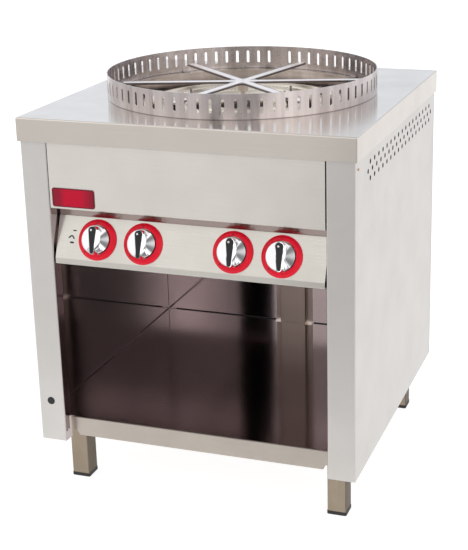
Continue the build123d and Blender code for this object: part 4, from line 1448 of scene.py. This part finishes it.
@dataclass
class LegFasteners(SubAssembly):
    """The bolts under each leg's plate and the weld where the tube meets the plate."""

    leg_x_mm: float = 290.0
    leg_y_mm: float = 267.0
    plate_z_mm: float = 152.5
    bolt_reach_mm: float = 27.5
    bolt_across_mm: float = 10.0
    bolt_height_mm: float = 4.5
    tube_half_mm: float = 20.0
    # the power that makes the tube's rounded square
    tube_power: float = 12.0
    bead_mm: float = 1.5
    # how deep the bead's middle lies under the plate, as a share of its radius
    bead_sink: float = 0.4
    ripple_mm: float = 3.0

    def build(self) -> None:
        """Adds the sixteen bolts and the four welds."""
        signs = np.array([-1.0, 1.0])
        reach = signs * self.bolt_reach_mm
        leg_x, leg_y, off_x, off_y = np.meshgrid(
            signs * self.leg_x_mm, signs * self.leg_y_mm, reach, reach
        )
        self.dresser.add_heads(
            "leg_bolts", hex_head(self.bolt_across_mm, self.bolt_height_mm),
            points_mm(leg_x + off_x, leg_y + off_y, self.plate_z_mm), (-AXIS_Z, AXIS_X),
            ZINC_STEEL, Slot.LEG_STEEL, smooth=False,
        )
        beads = [
            weld_bead(self.tube_outline(x, y), self.bead_mm, self.ripple_mm)
            for x in signs * self.leg_x_mm
            for y in signs * self.leg_y_mm
        ]
        self.dresser.add(surface("leg_welds", np.stack(beads)), WELD_STEEL, Slot.LEG_STEEL)

    def tube_outline(self, x_mm: float, y_mm: float) -> np.ndarray:
        """Goes once round a leg's square tube, just under its plate.

        The outline is a rounded square: at the angle a it reaches
        (|cos a|^n + |sin a|^n) ^ (-1 / n) times the half side, with n = 12.

        Args:
            x_mm: the leg's x.
            y_mm: the leg's y.

        Returns:
            The points, (steps, 3), in metres.
        """
        angle = np.arange(160) * (TURN / 160)
        x, y = np.cos(angle), np.sin(angle)
        power = self.tube_power
        reach = (np.abs(x) ** power + np.abs(y) ** power) ** (-1.0 / power) * self.tube_half_mm
        level = self.plate_z_mm - self.bead_sink * self.bead_mm
        return points_mm(x_mm + reach * x, y_mm + reach * y, level)


@dataclass
class GuardRing(SubAssembly):
    """The slotted ring: the lap of the strip's ends, its spot welds and the clips' screws."""

    inner_radius_mm: float = 285.0
    foot_mm: float = 810.6
    head_mm: float = 860.4
    lap_deg: Pair = (113.3, 116.5)
    # how far the lap stands proud of the strip, and how far it sinks into it
    lap_mm: float = 0.8
    lap_sink_mm: float = 0.2
    spot_radius_mm: float = 1.9
    spot_height_mm: float = 0.5
    spot_inset_mm: float = 6.0
    spot_rows: int = 4
    clip_count: int = 8
    clip_first_deg: float = 48.0
    clip_screw_radius_mm: float = 278.0
    clip_top_mm: float = 811.5
    screw_radius_mm: float = 3.0
    screw_height_mm: float = 2.0

    def build(self) -> None:
        """Adds the lap, its spot welds and the screws.

        The lap's section is a rectangle, carried about the ring's axis from one angle to the
        other.
        """
        middle = np.array([*BURNER_AXIS_MM, 0.0])
        angle = np.radians(np.linspace(*self.lap_deg, 16))[:, None]
        inner, outer = self.inner_radius_mm - self.lap_mm, self.inner_radius_mm + self.lap_sink_mm
        radius = np.array([[outer, inner, inner, outer]])
        height = np.array([[self.foot_mm, self.foot_mm, self.head_mm, self.head_mm]])
        slab = np.stack(
            [radius * np.cos(angle), radius * np.sin(angle), height + 0.0 * angle], axis=-1
        )
        lap = surface("ring_lap", (middle + slab) * MM, smooth=False)
        self.dresser.add(lap, RING_STEEL, Slot.POLISHED_SHEET)

        inset = self.spot_inset_mm
        rows = np.linspace(self.foot_mm + inset, self.head_mm - inset, self.spot_rows)
        turn = np.radians(0.5 * sum(self.lap_deg))
        inward = -np.array([math.cos(turn), math.sin(turn), 0.0])
        self.dresser.add_heads(
            "ring_spot_welds", pan_head(self.spot_radius_mm, self.spot_height_mm, sides=10),
            (middle - inward * inner + rows[:, None] * AXIS_Z) * MM, (inward, AXIS_Z),
            WELD_STEEL, Slot.POLISHED_SHEET,
        )
        step_deg = 360.0 / self.clip_count
        turns = np.radians(self.clip_first_deg + step_deg * np.arange(self.clip_count))
        flat = np.column_stack([np.cos(turns), np.sin(turns), np.zeros(self.clip_count)])
        feet = middle + self.clip_screw_radius_mm * flat + self.clip_top_mm * AXIS_Z
        self.dresser.add_heads(
            "clip_screws", pan_head(self.screw_radius_mm, self.screw_height_mm), feet * MM,
            (AXIS_Z, flat), FASTENER_STEEL, Slot.POLISHED_SHEET,
        )


@dataclass
class BurnerWelds(SubAssembly):
    """The welds where each ring's feed tube rises into the ring from below."""

    feed_xs_mm: tuple[float, ...] = (-35.0, 35.0, -105.0, 105.0)
    ring_tube_mm: float = 15.0
    feed_tube_mm: float = 11.0
    bead_mm: float = 1.5
    ripple_mm: float = 3.0

    def build(self) -> None:
        """Adds one ripple-beaded weld for each ring.

        A point of the seam stands on the feed tube at the angle a, and below the ring's centre
        line by the height of the ring tube's circle at that point's distance from the line.
        """
        angle = np.arange(72) * (TURN / 72)
        beads = []
        for radius, feed_x in zip(BURNER_RADII_MM, self.feed_xs_mm):
            x = feed_x + self.feed_tube_mm * np.cos(angle)
            y = -math.sqrt(radius**2 - feed_x**2) + self.feed_tube_mm * np.sin(angle)
            off = np.hypot(x, y) - radius
            z = BURNER_LINE_MM - np.sqrt(np.clip(self.ring_tube_mm**2 - off**2, 0.0, None))
            seam = points_mm(x + BURNER_AXIS_MM[0], y + BURNER_AXIS_MM[1], z)
            beads.append(weld_bead(seam, self.bead_mm, self.ripple_mm))
        self.dresser.add(surface("burner_welds", np.stack(beads)), WELD_STEEL, Slot.BURNER_STEEL)


@dataclass
class Turntable(SubAssembly):
    """The star and its bearing: the weld round the boss and the bolts of the bearing's flange."""

    # the boss's weld: the radius and the height of the bead's centre line
    seam_radius_mm: float = 10.9
    seam_z_mm: float = 828.4
    bead_mm: float = 1.5
    ripple_mm: float = 2.6
    flange_top_mm: float = 750.0
    bolt_circle_mm: float = 23.0
    bolt_across_mm: float = 8.0
    bolt_height_mm: float = 3.5

    def build(self) -> None:
        """Adds the boss's weld, which turns with the star, and the bolts, which stay."""
        seam = circle_mm((*BURNER_AXIS_MM, self.seam_z_mm), self.seam_radius_mm, 96)
        bead = surface("star_boss_weld", weld_bead(seam, self.bead_mm, self.ripple_mm))
        self.dresser.add(bead, WELD_STEEL, Slot.STAR_STEEL, Body.STAR.value)
        self.dresser.add_heads(
            "bearing_bolts", hex_head(self.bolt_across_mm, self.bolt_height_mm),
            circle_mm((*BURNER_AXIS_MM, self.flange_top_mm), self.bolt_circle_mm, 4),
            (AXIS_Z, AXIS_X), ZINC_STEEL, Slot.PIPE_STEEL, smooth=False,
        )


@dataclass
class KnobRow(SubAssembly):
    """The four knobs: a white dot on each pointer and the marks that it turns between."""

    slope: SlopePlane = SlopePlane()
    knob_count: int = 4
    # the dot's place on the pointer's head: beside the knob's axis, above it and out of the panel
    dot_mm: Triple = (5.0, 17.6, 45.5)
    dot_radius_mm: float = 2.1
    dot_height_mm: float = 0.9
    mark_degs: Pair = (2.0, 139.0)
    mark_reach_mm: Pair = (32.5, 36.2)
    mark_half_deg: float = 2.6
    cone_radius_mm: float = 30.5
    cone_height_mm: float = 8.0
    cone_fall: float = 0.25
    print_lift_mm: float = 0.12

    def build(self) -> None:
        """Adds the dots, each on its own knob, and the marks on the bezels."""
        dome = pan_head(self.dot_radius_mm, self.dot_height_mm, steps=6, sides=20)
        marks = []
        for number in range(1, self.knob_count + 1):
            middle = self.slope.knob_middle(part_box(f"bezel_{number}"))
            self.dresser.add_heads(
                f"knob_dot_{number}", dome, self.slope.patch(middle, *self.dot_mm),
                (self.slope.out, self.slope.up), WHITE_PRINT, Slot.BLACK_PLASTIC,
                f"knob_{number}",
            )
            marks.append(self.bezel_marks(middle))
        bars = np.stack(marks).reshape(-1, 5, 5, 3)
        printed = surface("bezel_marks", bars, closed=False, caps=(False, False))
        self.dresser.add(printed, MARK_ENAMEL, Slot.RED_ENAMEL)

    def bezel_marks(self, middle: np.ndarray) -> np.ndarray:
        """Prints short bars on a bezel's upper cone.

        A point at the radius r and at the angle a from straight up, measured anticlockwise, lies
        at r sin a to the left and r cos a up, and the cone falls by a quarter of the radius.

        Args:
            middle: the point on the panel that the knob turns about.

        Returns:
            The grids of the marks, (marks, rows, columns, 3).
        """
        radius = np.linspace(*self.mark_reach_mm, 5)[:, None]
        spread = np.radians(np.linspace(self.mark_half_deg, -self.mark_half_deg, 5))
        angle = np.radians(self.mark_degs)[:, None, None] + spread
        fall = self.cone_fall * (radius - self.cone_radius_mm)
        lift = self.cone_height_mm + self.print_lift_mm - fall
        return self.slope.patch(middle, -radius * np.sin(angle), radius * np.cos(angle), lift)


@dataclass
class PanelPrint(SubAssembly):
    """The small plain marks printed on the sloping panel, left of the first knob."""

    slope: SlopePlane = SlopePlane()
    lift_mm: float = 0.1
    # each bar: its middle across and up from the first knob, its half length, half width and lean
    bars: tuple[tuple[float, float, float, float, float], ...] = (
        (-52.5, 15.0, 4.2, 1.3, 0.0),
        (-61.5, 2.0, 4.6, 1.5, 40.0),
        (-54.5, 1.5, 4.6, 1.5, -52.0),
        (-56.5, -9.5, 4.6, 1.9, 0.0),
    )

    def build(self) -> None:
        """Adds the marks: each is a flat bar with round ends.

        A point at the share s of the length and t of the width lies at s L along the bar and at
        t W sqrt(1 - 0.98 s^4) across it.
        """
        middle = self.slope.knob_middle(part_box("bezel_1"))
        along = np.linspace(-1.0, 1.0, 17)[:, None]
        wide = np.linspace(1.0, -1.0, 5)[None, :]
        right, up, length, width, lean = (part[:, None, None] for part in np.array(self.bars).T)
        run = along * length + 0.0 * wide
        off = wide * width * np.sqrt(1.0 - 0.98 * along**4)
        cos, sin = np.cos(np.radians(lean)), np.sin(np.radians(lean))
        across, upward = right + run * cos - off * sin, up + run * sin + off * cos
        bars = self.slope.patch(middle, across, upward, self.lift_mm)
        printed = surface("panel_print", bars, closed=False, caps=(False, False))
        self.dresser.add(printed, DARK_PRINT, Slot.BRUSHED_SHEET)


# ---- the studio


COOL_WHITE = (0.93, 1.0, 1.09)


def tinted(light: float, coolness: float = 0.0) -> tuple[float, float, float, float]:
    """Gives a white of some strength and coolness as a colour."""
    red, green, blue = (light * (1.0 + coolness * (part - 1.0)) for part in COOL_WHITE)
    return red, green, blue, 1.0


def round_colour(tree: Tree, direction: Socket, stops: tuple, back: tuple[float, ...]) -> Node:
    """Picks a light by the angle round the room.

    Args:
        tree: the node tree to add to.
        direction: the socket of the direction, or of a place seen from the middle.
        stops: an angle from the front towards the right in degrees, a light and, where the
            white is cool, its coolness, for each stop.
        back: the light and the coolness straight behind.

    Returns:
        The node that gives the light, at half strength.
    """
    axes = add_node(tree, "SeparateXYZ", {0: direction}).outputs
    ahead = add_node(tree, "Math", {0: axes["Y"], 1: -1.0}, operation="MULTIPLY")
    angle = add_node(tree, "Math", {0: axes["X"], 1: ahead}, operation="ARCTAN2")
    limits = {"From Min": -math.pi, "From Max": math.pi}
    share = add_node(tree, "MapRange", {"Value": angle, **limits})
    node = add_node(tree, "ValToRGB", {0: share})
    ramp = node.color_ramp.elements
    for degrees, *light in stops:
        ramp.new(0.5 + degrees / 360.0).color = tinted(*light)
    ramp[0].color = ramp[len(ramp) - 1].color = tinted(*back)
    return node


@dataclass(frozen=True)
class StudioFloor(Finish):
    """White vinyl. White paper lies under and behind the stove, and the floor past it, which
    the camera doesn't see, is darker in some directions, as a room's is."""

    light: str = "#9B9B9B"
    dark: str = "#989897"
    cloud_mm: float = 1250.0
    # the white paper: its glow, how far round the stove and how far forward it lies
    paper_glow: float = 0.86
    paper_round_m: Pair = (2.2, 2.6)
    paper_front_m: Pair = (-0.78, -0.95)
    # the floor past the paper: an angle from the front towards the right, and its light at half
    # strength
    stops: tuple[Pair, ...] = (
        (-140.0, 0.45), (-120.0, 0.25), (-96.0, 0.24), (-12.0, 0.24), (-8.0, 0.20),
        (-3.0, 0.06), (2.0, 0.06), (5.0, 0.14), (13.0, 0.14), (20.0, 0.07), (36.0, 0.07),
        (45.0, 0.42), (72.0, 0.42), (100.0, 0.35), (135.0, 0.45),
    )
    back: tuple[float, ...] = (0.45,)

    def sockets(self, tree: Tree, spot: Socket) -> dict[str, object]:
        """Works out what feeds the shader.

        Args:
            tree: the node tree to add to.
            spot: the socket of the object's coordinates.

        Returns:
            A value, a node or a socket for each input of the shader, by its name.
        """
        scale = 1.0 / (self.cloud_mm * MM)
        clouds = add_node(tree, "TexNoise", {"Vector": spot, "Scale": scale, "Detail": 2.0})
        tone = {0: clouds, 6: linear(self.dark), 7: linear(self.light)}
        depth = add_node(tree, "SeparateXYZ", {0: spot}).outputs["Y"]
        distance = add_node(tree, "VectorMath", {0: spot}, operation="LENGTH")
        near, behind = (
            add_node(tree, "MapRange", {"Value": value, "From Min": none, "From Max": full})
            for value, (full, none) in (
                (distance, self.paper_round_m),
                (depth, self.paper_front_m),
            )
        )
        paper = add_node(tree, "Math", {0: near, 1: behind}, operation="MULTIPLY")
        far = round_colour(tree, spot, self.stops, self.back)
        doubled = add_node(tree, "VectorMath", {0: far, "Scale": 2.0}, operation="SCALE")
        glow = {0: paper, 6: doubled, 7: (self.paper_glow,) * 3 + (1.0,)}
        return {
            "Base Color": add_node(tree, "Mix", tone, data_type="RGBA"),
            "Roughness": 0.9,
            "Specular IOR Level": 0.0,
            "Emission Color": add_node(tree, "Mix", glow, data_type="RGBA"),
            "Emission Strength": 1.0,
        }


@dataclass
class Studio:
    """The floor, the light and the camera."""

    floor_m: float = 30.0
    # each wall: the angle from the front towards the right, its light at half strength, and
    # how cool its white is where it isn't plain
    walls: tuple[tuple[float, ...], ...] = (
        (-138.0, 0.54, 1.0), (-118.0, 0.46, 0.3), (-75.0, 0.55), (-60.0, 0.58), (-9.0, 0.58),
        (-6.0, 0.05), (1.0, 0.05), (3.0, 0.80), (13.0, 0.80), (16.0, 0.10), (20.5, 0.16),
        (22.0, 0.72), (22.9, 1.0), (24.3, 1.0), (25.0, 0.06), (28.5, 0.08), (33.0, 0.80),
        (70.0, 0.80), (95.0, 0.60), (130.0, 0.50, 0.4),
    )
    back_wall: Pair = (0.50, 1.0)
    ceiling_light: float = 0.22
    wall_top_deg: Pair = (38.0, 60.0)
    # the key light, high on the left: its radiance, where the room's own is near one
    key_glow: float = 0.35
    key_m: Triple = (-1.6, -0.8, 3.6)
    key_aim_m: Triple = (0.0, 0.0, 0.6)
    key_size_m: float = 3.0
    # the camera: its place, its azimuth, elevation and roll, its lens, and the crop's shift in
    # pixels of the picture's longer side
    camera_m: Triple = (0.937854, -2.533904, 1.340246)
    camera_deg: Triple = (18.964, 17.059, -1.036)
    lens_mm: float = 83.907
    sensor_mm: float = 36.0
    shift_px: Pair = (-40.0, -50.0)
    side_px: float = 550.0

    def lay_floor(self) -> None:
        """Lays a plain pale floor that runs out past the picture's top edge."""
        x, y = np.meshgrid((-self.floor_m, self.floor_m), (-self.floor_m, self.floor_m))
        corners = np.stack([x, y, 0.0 * x], axis=-1)
        floor = surface("studio_floor", corners, closed=False, caps=(False, False), smooth=False)
        floor.data.materials.append(StudioFloor("vinyl_white_floor").material())

    def light_world(self) -> None:
        """Fills the room with white light whose walls differ a little, as a real studio's do.

        The angle round the room, from the front towards the right, picks the light of each
        wall from a ramp, and a second ramp on the height fades to the even ceiling.
        """
        world = bpy.data.worlds.new("studio_room")
        world.use_nodes = True
        tree = world.node_tree
        tree.nodes.clear()
        direction = add_node(tree, "TexCoord").outputs["Generated"]
        walls = round_colour(tree, direction, self.walls, self.back_wall)
        low, high = (math.sin(math.radians(top)) for top in self.wall_top_deg)
        height = add_node(tree, "SeparateXYZ", {0: direction}).outputs["Z"]
        rise = add_node(tree, "MapRange", {"Value": height, "From Min": low, "From Max": high})
        ceiling = (self.ceiling_light,) * 3 + (1.0,)
        room = add_node(tree, "Mix", {0: rise, 6: walls, 7: ceiling}, data_type="RGBA")
        glow = add_node(tree, "Background", {"Color": room, "Strength": 2.0})
        add_node(tree, "OutputWorld", {"Surface": glow})
        bpy.context.scene.world = world

    def hang_key(self) -> None:
        """Hangs the key light, a square softbox."""
        light = bpy.data.lights.new("key", "AREA")
        light.shape = "RECTANGLE"
        light.size = light.size_y = self.key_size_m
        light.energy = self.key_glow * math.pi * self.key_size_m**2
        holder = bpy.data.objects.new("key", light)
        holder.location = self.key_m
        aim = Vector(self.key_aim_m) - Vector(self.key_m)
        holder.rotation_euler = aim.to_track_quat("-Z", "Y").to_euler()
        bpy.context.scene.collection.objects.link(holder)

    def set_camera(self) -> None:
        """Sets the camera at the photograph's angle, with the lens and the shift of its crop."""
        data = bpy.data.cameras.new("photograph")
        data.sensor_width = self.sensor_mm
        data.lens = self.lens_mm
        data.shift_x, data.shift_y = (shift / self.side_px for shift in self.shift_px)
        data.dof.use_dof = False
        camera = bpy.data.objects.new("photograph", data)
        azimuth, elevation, roll = (math.radians(angle) for angle in self.camera_deg)
        right = Vector((math.cos(azimuth), math.sin(azimuth), 0.0))
        level = Vector((math.sin(azimuth), -math.cos(azimuth), 0.0))
        back = math.cos(elevation) * level + math.sin(elevation) * Vector((0.0, 0.0, 1.0))
        up = back.cross(right)
        tilted_right = math.cos(roll) * right + math.sin(roll) * up
        tilted_up = -math.sin(roll) * right + math.cos(roll) * up
        turn = Matrix((tilted_right, tilted_up, back)).transposed().to_4x4()
        camera.matrix_world = Matrix.Translation(self.camera_m) @ turn
        bpy.context.scene.collection.objects.link(camera)
        bpy.context.scene.camera = camera

    def build(self) -> None:
        """Builds the whole studio."""
        self.lay_floor()
        self.light_world()
        self.hang_key()
        self.set_camera()
        bpy.context.scene.view_settings.view_transform = "Standard"
        LOG.info("studio is ready")


def main() -> None:
    """Builds the stove's looks, one sub-assembly after another, and the studio."""
    logging.basicConfig(level=logging.INFO, format="%(name)s: %(message)s")
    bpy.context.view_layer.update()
    dresser = Dresser()
    CadBodies(dresser).build()
    WorktopSkirt(dresser).build()
    CabinetFasteners(dresser).build()
    ShelfGapShade(dresser).build()
    LegFasteners(dresser).build()
    GuardRing(dresser).build()
    BurnerWelds(dresser).build()
    Turntable(dresser).build()
    KnobRow(dresser).build()
    PanelPrint(dresser).build()
    Studio().build()


if __name__ == "__main__":
    main()
